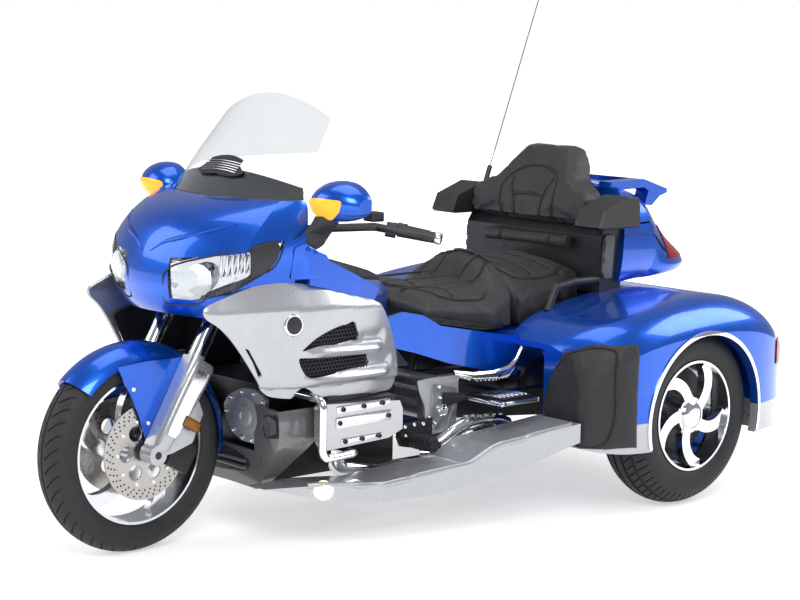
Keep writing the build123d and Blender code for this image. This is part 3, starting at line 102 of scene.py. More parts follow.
# Finishes
class Finish:
    """One material under construction: its nodes, its links and its shader."""

    def __init__(self, name):
        self.material = bpy.data.materials.new(name)
        self.material.use_nodes = True
        self.tree = self.material.node_tree
        self.shader = self.tree.nodes["Principled BSDF"]
        self.place = self.tree.nodes.new("ShaderNodeTexCoord").outputs["Object"]

    def node(self, kind, **settings):
        made = self.tree.nodes.new(kind)
        for key, value in settings.items():
            if hasattr(made, key):
                setattr(made, key, value)
            else:
                made.inputs[key.replace("_", " ")].default_value = value
        return made

    def join(self, source, target):
        self.tree.links.new(source, target)

    def set(self, **values):
        for key, value in values.items():
            self.shader.inputs[key.replace("_", " ")].default_value = value

    def noise(self, scale, detail=3.0, stretch=None):
        pattern = self.node("ShaderNodeTexNoise", Scale=scale, Detail=detail)
        if stretch is None:
            self.join(self.place, pattern.inputs["Vector"])
        else:
            mapping = self.node("ShaderNodeMapping")
            mapping.inputs["Scale"].default_value = stretch
            self.join(self.place, mapping.inputs["Vector"])
            self.join(mapping.outputs["Vector"], pattern.inputs["Vector"])
        return pattern.outputs["Fac"]

    def cells(self, scale, feature="F1"):
        pattern = self.node("ShaderNodeTexVoronoi", Scale=scale)
        pattern.feature = feature
        self.join(self.place, pattern.inputs["Vector"])
        return pattern

    def ranged(self, value, low, high, start=0.3, end=0.7):
        spread = self.node("ShaderNodeMapRange")
        spread.inputs["From Min"].default_value = start
        spread.inputs["From Max"].default_value = end
        spread.inputs["To Min"].default_value = low
        spread.inputs["To Max"].default_value = high
        self.join(value, spread.inputs["Value"])
        return spread.outputs["Result"]

    def tinted(self, value, dark, light, start=0.3, end=0.7):
        ramp = self.node("ShaderNodeValToRGB")
        ramp.color_ramp.elements[0].position = start
        ramp.color_ramp.elements[0].color = (*dark, 1.0)
        ramp.color_ramp.elements[1].position = end
        ramp.color_ramp.elements[1].color = (*light, 1.0)
        self.join(value, ramp.inputs["Fac"])
        self.join(ramp.outputs["Color"], self.shader.inputs["Base Color"])

    def rough(self, value, low, high):
        self.join(self.ranged(value, low, high), self.shader.inputs["Roughness"])

    def relief(self, value, strength, depth):
        bump = self.node("ShaderNodeBump", Strength=strength, Distance=depth)
        self.join(value, bump.inputs["Height"])
        self.join(bump.outputs["Normal"], self.shader.inputs["Normal"])


def shade(colour, factor):
    return tuple(min(1.0, channel * factor) for channel in colour)


def metallic_paint(name, colour, metal=0.6, flake=0.35):
    finish = Finish(name)
    finish.set(Metallic=metal, Coat_Weight=0.7, Coat_Roughness=0.04, Specular_IOR_Level=0.35)
    finish.tinted(finish.noise(480.0, 2.0), shade(colour, 1.0 - flake), shade(colour, 1.0 + flake))
    finish.rough(finish.noise(24.0, 2.0), 0.27, 0.33)
    return finish.material


def polished_metal(name, colour, smooth=0.05, worn=0.12):
    finish = Finish(name)
    finish.set(Metallic=1.0, Specular_IOR_Level=0.5)
    finish.tinted(finish.noise(25.0), shade(colour, 0.94), colour)
    finish.rough(finish.noise(140.0, 5.0), smooth, worn)
    return finish.material


def brushed_metal(name, colour, stretch, low=0.22, high=0.4):
    finish = Finish(name)
    finish.set(Metallic=1.0, Specular_IOR_Level=0.5)
    grain = finish.noise(90.0, 6.0, stretch)
    finish.tinted(grain, shade(colour, 0.85), shade(colour, 1.08))
    finish.rough(grain, low, high)
    finish.relief(grain, 0.12, 0.0004)
    return finish.material


def cast_metal(name, colour, metal, low, high):
    finish = Finish(name)
    finish.set(Metallic=metal, Specular_IOR_Level=0.5)
    grain = finish.noise(420.0, 6.0)
    finish.tinted(grain, shade(colour, 0.8), shade(colour, 1.15))
    finish.rough(finish.noise(70.0), low, high)
    finish.relief(grain, 0.3, 0.0006)
    return finish.material


def moulded_plastic(name, colour, low=0.42, high=0.56, grain=1100.0):
    finish = Finish(name)
    finish.set(Specular_IOR_Level=0.5)
    texture = finish.noise(grain, 4.0)
    finish.tinted(finish.noise(18.0), shade(colour, 0.88), shade(colour, 1.12))
    finish.rough(texture, low, high)
    finish.relief(texture, 0.16, 0.0004)
    return finish.material


def grained_leather(name, colour):
    finish = Finish(name)
    finish.set(Specular_IOR_Level=0.45, Sheen_Weight=0.08, Sheen_Roughness=0.5)
    pores = finish.cells(420.0, "DISTANCE_TO_EDGE")
    creases = finish.ranged(pores.outputs["Distance"], 0.0, 1.0, 0.0, 0.12)
    finish.tinted(finish.noise(14.0), shade(colour, 0.8), shade(colour, 1.35))
    finish.rough(finish.noise(40.0), 0.4, 0.54)
    finish.relief(creases, 0.35, 0.0007)
    return finish.material


def tyre_rubber(name, colour):
    finish = Finish(name)
    finish.set(Specular_IOR_Level=0.4)
    dust = finish.noise(22.0, 5.0)
    finish.tinted(dust, colour, shade(colour, 1.7))
    finish.rough(dust, 0.55, 0.72)
    finish.relief(finish.noise(700.0, 4.0), 0.2, 0.0005)
    return finish.material


def lens(name, colour, cover=1.0, glow=None, strength=0.0):
    finish = Finish(name)
    finish.set(Transmission_Weight=cover, IOR=1.35, Specular_IOR_Level=0.5)
    ribs = finish.noise(120.0, 1.0, (1.0, 6.0, 0.4))
    finish.tinted(ribs, shade(colour, 0.88), colour)
    finish.rough(finish.noise(80.0), 0.01, 0.05)
    if glow is not None:
        finish.set(Emission_Color=(*glow, 1.0), Emission_Strength=strength)
    return finish.material


def clear_sheet(name):
    finish = Finish(name)
    finish.set(Transmission_Weight=1.0, IOR=1.12, Specular_IOR_Level=0.6, Coat_Weight=0.35,
               Coat_Roughness=0.02)
    finish.tinted(finish.noise(8.0), (0.84, 0.87, 0.89), (0.88, 0.905, 0.92))
    finish.rough(finish.noise(30.0), 0.0, 0.02)
    return finish.material


blue = (0.001, 0.095, 0.60)
finishes = {
    "blue_paint": metallic_paint("blue_paint", blue, 0.72, 0.12),
    "silver_paint": metallic_paint("silver_paint", (0.46, 0.47, 0.49), 0.55, 0.05),
    "graphite_paint": metallic_paint("graphite_paint", (0.17, 0.17, 0.175), 0.4, 0.06),
    "chrome": polished_metal("chrome", (0.80, 0.81, 0.83)),
    "polished_casting": polished_metal("polished_casting", (0.68, 0.69, 0.71), 0.10, 0.24),
    "chrome_casting": polished_metal("chrome_casting", (0.76, 0.77, 0.79), 0.06, 0.16),
    "disc_steel": brushed_metal("disc_steel", (0.46, 0.44, 0.42), (1.0, 1.0, 1.0)),
    "dark_steel": cast_metal("dark_steel", (0.045, 0.045, 0.05), 0.7, 0.35, 0.5),
    "black_cast": cast_metal("black_cast", (0.022, 0.022, 0.024), 0.3, 0.36, 0.5),
    "brushed_alloy": brushed_metal("brushed_alloy", (0.50, 0.50, 0.51), (0.3, 3.0, 3.0)),
    "frame_alloy": cast_metal("frame_alloy", (0.40, 0.41, 0.43), 0.9, 0.3, 0.42),
    "grey_alloy": cast_metal("grey_alloy", (0.30, 0.31, 0.33), 0.85, 0.3, 0.42),
    "black_plastic": moulded_plastic("black_plastic", (0.018, 0.018, 0.02)),
    "grey_plastic": moulded_plastic("grey_plastic", (0.10, 0.10, 0.11), 0.35, 0.5),
    "black_leather": grained_leather("black_leather", (0.016, 0.016, 0.018)),
    "tyre_rubber": tyre_rubber("tyre_rubber", (0.018, 0.018, 0.019)),
    "mirror_glass": polished_metal("mirror_glass", (0.85, 0.87, 0.89), 0.01, 0.03),
    "clear_lens": lens("clear_lens", (0.93, 0.95, 0.97)),
    "red_lens": lens("red_lens", (0.62, 0.015, 0.02), 0.55),
    "amber_lens": lens("amber_lens", (0.85, 0.30, 0.02), 0.6),
    "clear_screen": clear_sheet("clear_screen"),
    "lamp_bowl": polished_metal("lamp_bowl", (0.70, 0.71, 0.73), 0.04, 0.08),
    "gold_bowl": polished_metal("gold_bowl", (0.83, 0.62, 0.36), 0.06, 0.12),
    "lit_amber": lens("lit_amber", (0.95, 0.42, 0.03), 0.3, (1.0, 0.36, 0.02), 0.9),
    "lit_lamp": lens("lit_lamp", (1.0, 0.92, 0.75), 0.3, (1.0, 0.80, 0.45), 2.2),
    "case_alloy": cast_metal("case_alloy", (0.42, 0.43, 0.44), 0.45, 0.34, 0.46),
    "stitching": moulded_plastic("stitching", (0.03, 0.03, 0.032), 0.5, 0.7, 2200.0),
}
for part in frame["record"]["subparts"]:
    mesh = nodes[part["node"]].data
    mesh.materials.clear()
    mesh.materials.append(finishes["dark_steel" if part["node"] == "radio_mast" else part["material_slot"]])


# Making of shapes
class Shape:
    """A mesh under construction, in metres, in the part's own frame."""

    def __init__(self):
        self.bm = bmesh.new()

    def skin(self, rings, closed=True, caps=True):
        rows = [[self.bm.verts.new(point) for point in ring] for ring in rings]
        count = len(rows[0])
        for low, high in zip(rows, rows[1:]):
            for i in range(count if closed else count - 1):
                j = (i + 1) % count
                self.bm.faces.new((low[i], low[j], high[j], high[i]))
        if caps and closed:
            self.bm.faces.new(rows[0][::-1])
            self.bm.faces.new(rows[-1])
        return self

    def tube(self, path, radius, sides=10, caps=True):
        radii = radius if isinstance(radius, (list, tuple)) else [radius] * len(path)
        side = None
        rings = []
        for i, point in enumerate(path):
            run = (path[min(i + 1, len(path) - 1)] - path[max(i - 1, 0)]).normalized()
            if side is None:
                side = run.orthogonal().normalized()
            side = (side - run * side.dot(run)).normalized()
            other = run.cross(side)
            angles = [2 * pi * k / sides for k in range(sides)]
            rings.append([point + (side * cos(a) + other * sin(a)) * radii[i] for a in angles])
        return self.skin(rings, caps=caps)

    def slab(self, outline, shift):
        return self.skin([list(outline), [point + shift for point in outline]])

    def turned(self, profile, centre, axis, sides=32, caps=True):
        axis = axis.normalized()
        side = axis.orthogonal().normalized()
        other = axis.cross(side)
        angles = [2 * pi * k / sides for k in range(sides)]
        rings = [
            [centre + axis * along + (side * cos(a) + other * sin(a)) * radius for a in angles]
            for radius, along in profile
        ]
        return self.skin(rings, caps=caps)

    def both_sides(self):
        twin = bmesh.ops.duplicate(self.bm,
                                   geom=self.bm.verts[:] + self.bm.edges[:] + self.bm.faces[:])["geom"]
        for vertex in [g for g in twin if isinstance(g, bmesh.types.BMVert)]:
            vertex.co.y = -vertex.co.y
        bmesh.ops.reverse_faces(self.bm, faces=[g for g in twin if isinstance(g, bmesh.types.BMFace)])
        return self

    def piece(self, name, finish, body, replaces=(), wall=0.0, bevel=0.0, smooth=32):
        bmesh.ops.remove_doubles(self.bm, verts=self.bm.verts, dist=1e-5)
        bmesh.ops.recalc_face_normals(self.bm, faces=self.bm.faces)
        mesh = bpy.data.meshes.new(name)
        self.bm.to_mesh(mesh)
        self.bm.free()
        made = bpy.data.objects.new(name, mesh)
        bpy.context.scene.collection.objects.link(made)
        if wall:
            solid = made.modifiers.new("wall", "SOLIDIFY")
            solid.thickness = wall
            solid.offset = 1.0
        if bevel:
            edge = made.modifiers.new("edge", "BEVEL")
            edge.width = bevel
            edge.segments = 2
            edge.angle_limit = radians(38)
        if made.modifiers:
            settle(made)
        return dressed(made, finish, body, replaces, smooth)


def settle(made):
    """Turns an object's modifiers into plain mesh."""
    done = made.evaluated_get(bpy.context.evaluated_depsgraph_get())
    mesh = bpy.data.meshes.new_from_object(done)
    made.modifiers.clear()
    made.data = mesh
    return made


def dressed(made, finish, body, replaces=(), smooth=32):
    """Gives a piece its finish and its body."""
    made.data.materials.clear()
    made.data.materials.append(finishes[finish])
    made.data.polygons.foreach_set("use_smooth", [True] * len(made.data.polygons))
    made.data.set_sharp_from_angle(angle=radians(smooth))
    if replaces:
        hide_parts(*replaces)
    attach(made, body)
    return made


def rounded(corners, cut=0.01, steps=4):
    """An outline with its corners eased; a corner may carry its own cut as a third value."""
    made = []
    for i, corner in enumerate(corners):
        here = Vector(corner[:2])
        before = Vector(corners[i - 1][:2])
        after = Vector(corners[(i + 1) % len(corners)][:2])
        own = corner[2] if len(corner) > 2 else cut
        start = here + (before - here).normalized() * min(own, (before - here).length * 0.45)
        end = here + (after - here).normalized() * min(own, (after - here).length * 0.45)
        for k in range(steps + 1):
            t = k / steps
            made.append(start * (1 - t) ** 2 + here * 2 * t * (1 - t) + end * t * t)
    return made


def smooth_path(points, steps=8):
    """A smooth line through points."""
    points = [Vector(p) for p in points]
    ends = [points[0] * 2 - points[1]] + points + [points[-1] * 2 - points[-2]]
    made = []
    for i in range(1, len(ends) - 2):
        a, b, c, d = ends[i - 1 : i + 3]
        for k in range(steps):
            t = k / steps
            square, cube = a * 2 - b * 5 + c * 4 - d, b * 3 - a - c * 3 + d
            made.append((b * 2 + (c - a) * t + square * t * t + cube * t ** 3) / 2)
    made.append(points[-1])
    return made


def table(value, rows):
    """Reads a value between the rows of a table, smoothly."""
    if value <= rows[0][0]:
        return rows[0][1]
    for (a, low), (b, high) in zip(rows, rows[1:]):
        if value <= b:
            t = (value - a) / (b - a)
            return low + (high - low) * t
    return rows[-1][1]


def inside(x, y, outline):
    hit = False
    for a, b in zip(outline, outline[1:] + outline[:1]):
        if (a[1] > y) != (b[1] > y) and x < (b[0] - a[0]) * (y - a[1]) / (b[1] - a[1]) + a[0]:
            hit = not hit
    return hit


def trimmed(outline, holes=(), step=0.009, lines=()):
    """Triangles that fill an outline around its holes, with finer points along its creases."""
    loops = [outline, *holes]
    points, edges = [], []
    for loop in loops:
        first = len(points)
        points.extend(Vector(p[:2]) for p in loop)
        edges.extend((first + i, first + (i + 1) % len(loop)) for i in range(len(loop)))
    for line in lines:
        points.extend(
            Vector(p[:2]) for p in line if inside(p[0], p[1], outline) and not any(inside(p[0], p[1], h)
                for h in holes)
        )
    fixed = list(points)
    low = Vector((min(p[0] for p in outline), min(p[1] for p in outline)))
    high = Vector((max(p[0] for p in outline), max(p[1] for p in outline)))
    row = 0
    y = low.y + step / 2
    while y < high.y:
        x = low.x + step * (0.25 if row % 2 else 0.75)
        while x < high.x:
            place = Vector((x, y))
            if inside(x, y, outline) and not any(inside(x, y, hole) for hole in holes):
                if min((place - p).length_squared for p in fixed) > (0.5 * step) ** 2:
                    points.append(place)
            x += step
        y += step * 0.87
        row += 1
    made = delaunay_2d_cdt(points, edges, [], 0, 1e-6)
    corners = made[0]
    kept = []
    for face in made[2]:
        centre = sum((corners[i] for i in face), Vector((0, 0))) / len(face)
        if inside(centre.x, centre.y, outline) and not any(inside(centre.x, centre.y, hole)
            for hole in holes):
            kept.append(face)
    return corners, kept


def sheet_shape(outline, holes, place, step=0.009, lines=()):
    """A trimmed sheet laid in space by place(first, second)."""
    corners, faces = trimmed(outline, holes, step, lines)
    shape = Shape()
    made = [shape.bm.verts.new(place(c.x, c.y)) for c in corners]
    for face in faces:
        shape.bm.faces.new([made[i] for i in face])
    loose = [v for v in shape.bm.verts if not v.link_faces]
    bmesh.ops.delete(shape.bm, geom=loose, context="VERTS")
    return shape


# Repeated pieces, set on marked points by Geometry Nodes
def repeating_tree():
    tree = bpy.data.node_groups.new("repeated_pieces", "GeometryNodeTree")
    face = tree.interface
    face.new_socket("Geometry", in_out="INPUT", socket_type="NodeSocketGeometry")
    face.new_socket("Repeated piece", in_out="INPUT", socket_type="NodeSocketObject")
    face.new_socket("Piece size", in_out="INPUT", socket_type="NodeSocketFloat")
    face.new_socket("Finish", in_out="INPUT", socket_type="NodeSocketMaterial")
    face.new_socket("Geometry", in_out="OUTPUT", socket_type="NodeSocketGeometry")
    make, join = tree.nodes.new, tree.links.new
    start, end = make("NodeGroupInput"), make("NodeGroupOutput")
    info = make("GeometryNodeObjectInfo")
    join(start.outputs["Repeated piece"], info.inputs["Object"])
    turns = []
    for name, axis in (("facing", "Z"), ("along", "X")):
        read = make("GeometryNodeInputNamedAttribute")
        read.data_type = "FLOAT_VECTOR"
        read.inputs["Name"].default_value = name
        turn = make("FunctionNodeAlignRotationToVector")
        turn.axis = axis
        turn.pivot_axis = "AUTO" if axis == "Z" else "Z"
        join(read.outputs["Attribute"], turn.inputs["Vector"])
        turns.append(turn)
    join(turns[0].outputs["Rotation"], turns[1].inputs["Rotation"])
    copies = make("GeometryNodeInstanceOnPoints")
    join(start.outputs["Geometry"], copies.inputs["Points"])
    join(info.outputs["Geometry"], copies.inputs["Instance"])
    join(turns[1].outputs["Rotation"], copies.inputs["Rotation"])
    join(start.outputs["Piece size"], copies.inputs["Scale"])
    real = make("GeometryNodeRealizeInstances")
    paint = make("GeometryNodeSetMaterial")
    join(copies.outputs["Instances"], real.inputs["Geometry"])
    join(real.outputs["Geometry"], paint.inputs["Geometry"])
    join(start.outputs["Finish"], paint.inputs["Material"])
    join(paint.outputs["Geometry"], end.inputs["Geometry"])
    return tree


repeated_pieces = repeating_tree()


def template(name, build):
    shape = Shape()
    build(shape)
    bmesh.ops.recalc_face_normals(shape.bm, faces=shape.bm.faces)
    mesh = bpy.data.meshes.new(name)
    shape.bm.to_mesh(mesh)
    shape.bm.free()
    made = bpy.data.objects.new(name, mesh)
    bpy.context.scene.collection.objects.link(made)
    return made


def repeated(name, marks, model, finish, body, size=1.0, smooth=32, replaces=()):
    """Sets a model on marks, each a place, the way it faces and the way that it runs."""
    mesh = bpy.data.meshes.new(name)
    mesh.from_pydata([mark[0] for mark in marks], [], [])
    for index, key in ((1, "facing"), (2, "along")):
        values = mesh.attributes.new(key, "FLOAT_VECTOR", "POINT")
        values.data.foreach_set("vector", [c for mark in marks for c in mark[index]])
    made = bpy.data.objects.new(name, mesh)
    bpy.context.scene.collection.objects.link(made)
    made.modifiers.new("repeated", "NODES").node_group = repeated_pieces
    inputs = {item.name: item.identifier
              for item in repeated_pieces.interface.items_tree if item.in_out == "INPUT"}
    made.modifiers["repeated"][inputs["Repeated piece"]] = model
    made.modifiers["repeated"][inputs["Piece size"]] = size
    made.modifiers["repeated"][inputs["Finish"]] = finishes[finish]
    bpy.context.view_layer.update()
    settle(made)
    return dressed(made, finish, body, replaces, smooth)


def mirrored(marks):
    flip = lambda v: Vector((v[0], -v[1], v[2]))
    return marks + [(flip(a), flip(b), flip(c)) for a, b, c in marks]


forward, leftward, upward = Vector((1, 0, 0)), Vector((0, 1, 0)), Vector((0, 0, 1))


def side_marks(y, places):
    """Marks that face outwards on upright planes at y and -y, from stations and heights."""
    return mirrored([(at(x, y, z), leftward, forward) for x, z in places])


def bolt_form(shape):
    """A socket-head screw, 1 across, standing on its foot."""
    shape.turned([(0.5, 0.0), (0.5, 0.34), (0.42, 0.42), (0.24, 0.42), (0.24, 0.2)], Vector((0, 0, 0)),
                 upward, 12)


def cell_form(shape):
    """One cell of a six-sided mesh, 1 across its flats, 0.5 deep."""
    wide, narrow = 0.6, 0.44
    corner = lambda r, k, z: Vector((r * cos(pi * k / 3 + pi / 6), r * sin(pi * k / 3 + pi / 6), z))
    shape.skin([[corner(r, k, z) for k in range(6)] for r, z in ((wide, 0.0), (wide, 0.5), (narrow, 0.5),
        (narrow, 0.0))], caps=False)


def stitch_form(shape):
    """A stitch, 1 long, lying on its foot."""
    path = [Vector((-0.5, 0, -0.05)), Vector((-0.3, 0, 0.12)), Vector((0.3, 0, 0.12)),
            Vector((0.5, 0, -0.05))]
    shape.tube(path, [0.12, 0.17, 0.17, 0.12], 6)


bolt, cell, stitch = template("bolt", bolt_form), template("cell", cell_form), template("stitch",
    stitch_form)


# Side fairing panels with two mesh vents under ledges
def fairing_bow(station):
    centre, deep, reach = 0.46506, -0.68525, 1.07383
    return deep + sqrt(max(reach ** 2 - (station - centre) ** 2, 0.0))


fairing_outline = rounded([
    (0.045, 0.772, 0.02), (0.066, 0.785), (0.174, 0.821, 0.03), (0.285, 0.849, 0.03), (0.46, 0.811, 0.05),
    (0.694, 0.750, 0.02), (0.735, 0.695, 0.03), (0.783, 0.606, 0.04), (0.804, 0.534, 0.03),
    (0.801, 0.490, 0.02), (0.772, 0.465, 0.02), (0.588, 0.478, 0.05), (0.424, 0.485, 0.006),
    (0.414, 0.505, 0.02), (0.378, 0.523, 0.03), (0.352, 0.508, 0.02), (0.341, 0.489, 0.01),
    (0.298, 0.494, 0.03), (0.245, 0.506, 0.03), (0.206, 0.569, 0.05), (0.138, 0.674, 0.05),
    (0.093, 0.724, 0.03), (0.054, 0.748, 0.02),
])
upper_vent = rounded([(0.360, 0.634, 0.01), (0.411, 0.672, 0.03), (0.483, 0.698, 0.03),
                      (0.566, 0.712, 0.012), (0.594, 0.664, 0.012), (0.587, 0.648, 0.012),
                      (0.453, 0.638, 0.03)])
lower_vent = rounded([(0.350, 0.614, 0.012), (0.556, 0.612, 0.03), (0.628, 0.611, 0.014),
                      (0.646, 0.566, 0.014), (0.633, 0.555, 0.014), (0.455, 0.547, 0.03),
                      (0.390, 0.545, 0.02), (0.361, 0.582, 0.02)])
front_slot = rounded([(0.172, 0.657), (0.184, 0.652), (0.230, 0.572), (0.218, 0.567)], 0.004)
crease_line = ((0.06, 0.770), (0.093, 0.763), (0.208, 0.767), (0.304, 0.766), (0.392, 0.760),
               (0.475, 0.761), (0.70, 0.744))
upper_ledge = ((0.350, 0.625), (0.516, 0.624), (0.71, 0.614))
lower_ledge = ((0.385, 0.541), (0.518, 0.541), (0.745, 0.533))
lip_line = ((0.22, 0.540), (0.340, 0.529), (0.414, 0.531), (0.586, 0.526), (0.80, 0.512))


def bump(value, middle, half):
    reach = abs(value - middle) / half
    return 0.0 if reach >= 1 else (1 - reach * reach) ** 2


def ramp(value, low, high):
    share = min(1.0, max(0.0, (value - low) / (high - low)))
    return share * share * (3 - 2 * share)


def fairing_side(station, height):
    y = fairing_bow(station)
    over = height - table(station, crease_line)
    y -= 0.55 * over if over > 0 else -0.05 * over
    for line, end, rise in ((upper_ledge, 0.700, 0.016), (lower_ledge, 0.745, 0.014)):
        level = table(station, line)
        strength = ramp(station, 0.36, 0.44) * (1 - ramp(station, end - 0.03, end + 0.012))
        y += rise * bump(height, level, 0.016) * strength
        dip = 0.009 * bump(height, level + 0.034, 0.034)
        y -= dip * ramp(station, 0.57, 0.62) * (1 - ramp(station, end - 0.01, end + 0.02))
    y -= 0.008 * ramp(table(station, lip_line) - height, 0.0, 0.006)
    return y


def run_line(rows, shift=0.0, count=90):
    low, high = rows[0][0], rows[-1][0]
    stations = [low + (high - low) * i / count for i in range(count + 1)]
    return [(x, table(x, rows) + shift) for x in stations]


detail_lines = [run_line(crease_line), run_line(lip_line), run_line(lip_line, -0.006)]
ledge_shifts = (-0.014, -0.008, 0.0, 0.008, 0.014)
detail_lines += [run_line(rows, shift) for rows in (upper_ledge, lower_ledge) for shift in ledge_shifts]
panel = sheet_shape(
    fairing_outline, [upper_vent, lower_vent, front_slot], lambda x, z: at(x, fairing_side(x, z) - 0.010,
        z), 0.010, detail_lines
)
panel.both_sides().piece("fairing_panels", "silver_paint", "chassis", ("side_fairings",), wall=0.010,
                         bevel=0.0025, smooth=40)

backing = sheet_shape(
    rounded([(0.15, 0.68), (0.20, 0.69), (0.60, 0.735), (0.67, 0.55), (0.37, 0.53), (0.22, 0.56)], 0.02),
    [],
    lambda x, z: at(x, fairing_bow(x) - 0.030, z), 0.03,
)
backing.both_sides().piece("vent_backing", "black_plastic", "chassis", wall=0.003)

marks = []
pitch = 0.0135
for row in range(15):
    for column in range(26):
        x = 0.338 + column * pitch + (pitch / 2 if row % 2 else 0)
        z = 0.538 + row * pitch * 0.87
        if inside(x, z, upper_vent) or inside(x, z, lower_vent):
            lean = Vector((0, 1, 0)) + forward * (x - 0.465)
            marks.append((at(x, fairing_bow(x) - 0.022, z), lean.normalized(), upward))
repeated("vent_mesh", mirrored(marks), cell, "black_plastic", "chassis", pitch, replaces=("side_grilles",))

badge = Shape()
badge_middle = at(0.326, fairing_side(0.326, 0.717), 0.717)
badge_out = Vector((0.13, 1, 0.05)).normalized()
badge.turned([(0.0335, -0.002), (0.0335, 0.003), (0.031, 0.006), (0.027, 0.006), (0.026, 0.003)],
             badge_middle, badge_out, 40)
badge.both_sides().piece("badge_rims", "chrome", "chassis")
face = Shape().turned([(0.0262, 0.001), (0.0262, 0.0035), (0.018, 0.0052), (0.006, 0.006)], badge_middle,
                      badge_out, 40)
face.both_sides().piece("badge_faces", "black_plastic", "chassis")


# Tyres, whose rows of points run along their cross grooves
def round_through(start, middle, end):
    """Centre and radius of the round line through three points."""
    (a, b), (c, d), (e, f) = start, middle, end
    twice = 2 * (a * (d - f) + c * (f - b) + e * (b - d))
    s, t, u = a * a + b * b, c * c + d * d, e * e + f * f
    centre = Vector(((s * (d - f) + t * (f - b) + u * (b - d)) / twice,
                     (s * (e - c) + t * (a - e) + u * (c - a)) / twice))
    return centre, (Vector(start) - centre).length


def arc(start, middle, end, steps):
    """Points on the round line through three points, without the first."""
    centre, radius = round_through(start, middle, end)
    first, through, last = (atan2(p[1] - centre.y, p[0] - centre.x) for p in (start, middle, end))
    sweep = (last - first) % (2 * pi)
    if (through - first) % (2 * pi) > sweep:
        sweep -= 2 * pi
    return [
        centre + Vector((cos(first + sweep * k / steps), sin(first + sweep * k / steps))) * radius
        for k in range(1, steps + 1)
    ]


# Raised rings on the side walls: step of the arc, height
wall_rings = {3: 0.0014, 4: 0.0014, 11: 0.0012, 12: 0.0012}


def tyre(name, node, body, axle, radius, width, bore, pitches, rows, tread, depth):
    """A tyre as rings of points, so that its cross grooves follow the tread rows' leads."""
    half, seat = width / 2, bore + 0.0003
    shoulder, bead = (half * 0.82, radius - width * 0.16), (half * 0.84, seat)
    bulge = (half, (seat + shoulder[1]) / 2)
    centre, bow = round_through(shoulder, (0.0, radius), (-shoulder[0], shoulder[1]))
    side = []
    for k, point in enumerate(arc(shoulder, bulge, bead, 14)):
        out = (point - Vector((0.0, bulge[1]))).normalized() * wall_rings.get(k, 0.0)
        side.append((point + out, 0.0, 0.55 if k == 0 else 0.0, tread[0][3]))
    crown = [
        (Vector((y, centre.y + sqrt(bow ** 2 - (y - centre.x) ** 2))), ring, cut, lead)
        for y, ring, cut, lead in tread
    ]
    left = side[::-1] + crown
    right = [(Vector((-p.x, p.y)), ring, cut, lead + pi * radius / pitches)
             for p, ring, cut, lead in reversed(left)]
    profile = left + (right[1:] if crown[-1][0].x == 0 else right)
    shape = Shape()
    rings = []
    for pitch in range(pitches):
        for share, on in rows:
            turn = 2 * pi * (pitch + share) / pitches
            ring = []
            for point, groove, cut, lead in profile:
                reach = point.y - depth * max(groove, cut * on)
                angle = turn + lead / radius
                ring.append(axle + Vector((reach * cos(angle), point.x, reach * sin(angle))))
            rings.append(ring)
    rings.append(rings[0])
    shape.skin(rings, caps=False)
    return shape.piece(name, "tyre_rubber", body, (node,), smooth=36)


# Tread rows from the shoulder to the middle: side place, ring groove, cross groove, lead
front_tread = [
    (0.0533, 0, 0.4, 0.040), (0.047, 0, 1, 0.036), (0.039, 0, 1, 0.029), (0.031, 0, 1, 0.021),
    (0.022, 0, 1, 0.011), (0.013, 0, 1, 0.002), (0.0115, 0, 0, 0.0), (0.0040, 0, 0, 0.0),
    (0.0030, 1, 0, 0.0), (0.0, 1, 0, 0.0),
]
rear_tread = [
    (0.0840, 0, 1, 0.016), (0.0760, 0, 1, 0.012), (0.0680, 0, 1, 0.009), (0.0600, 0, 1, 0.006),
    (0.0590, 1, 0, 0.006), (0.0510, 1, 0, 0.0), (0.0500, 0, 1, 0.0), (0.0400, 0, 1, -0.008),
    (0.0300, 0, 1, -0.014), (0.0220, 0, 1, -0.018), (0.0210, 1, 0, -0.018), (0.0130, 1, 0, 0.0),
    (0.0120, 0, 0.0, 0.0), (0.0, 0, 0.0, 0.0),
]
# Rows along one pitch: share of the pitch, whether the cross groove is cut there
front_rows = ((0.0, 0), (0.03, 1), (0.15, 1), (0.18, 0), (0.55, 0))
rear_rows = ((0.0, 0), (0.035, 1), (0.15, 1), (0.185, 0), (0.60, 0))
tyre("front_tyre_tread", "front_tyre", "front_wheel", front_axle, front_axle.z, front_tyre_width,
     front_bore,
     46, front_rows, front_tread, 0.005)
for side_name, side in (("left", 1), ("right", -1)):
    tyre(
        f"rear_{side_name}_tyre_tread", f"rear_{side_name}_tyre", f"rear_{side_name}_wheel",
        Vector((rear_axle_x, side * rear_wheel_y, rear_axle_z)), rear_axle_z, rear_tyre_width, rear_bore,
        62, rear_rows, rear_tread, 0.007,
    )


# Upholstery
def copied(name, node):
    """A welded copy of a CAD node's mesh."""
    welded = bmesh.new()
    welded.from_mesh(nodes[node].data)
    bmesh.ops.remove_doubles(welded, verts=welded.verts, dist=1e-5)
    mesh = bpy.data.meshes.new(name)
    welded.to_mesh(mesh)
    welded.free()
    made = bpy.data.objects.new(name, mesh)
    bpy.context.scene.collection.objects.link(made)
    return made


spare_room = 0.004
cushion_pressure = 4.0
cloth_moments = 20


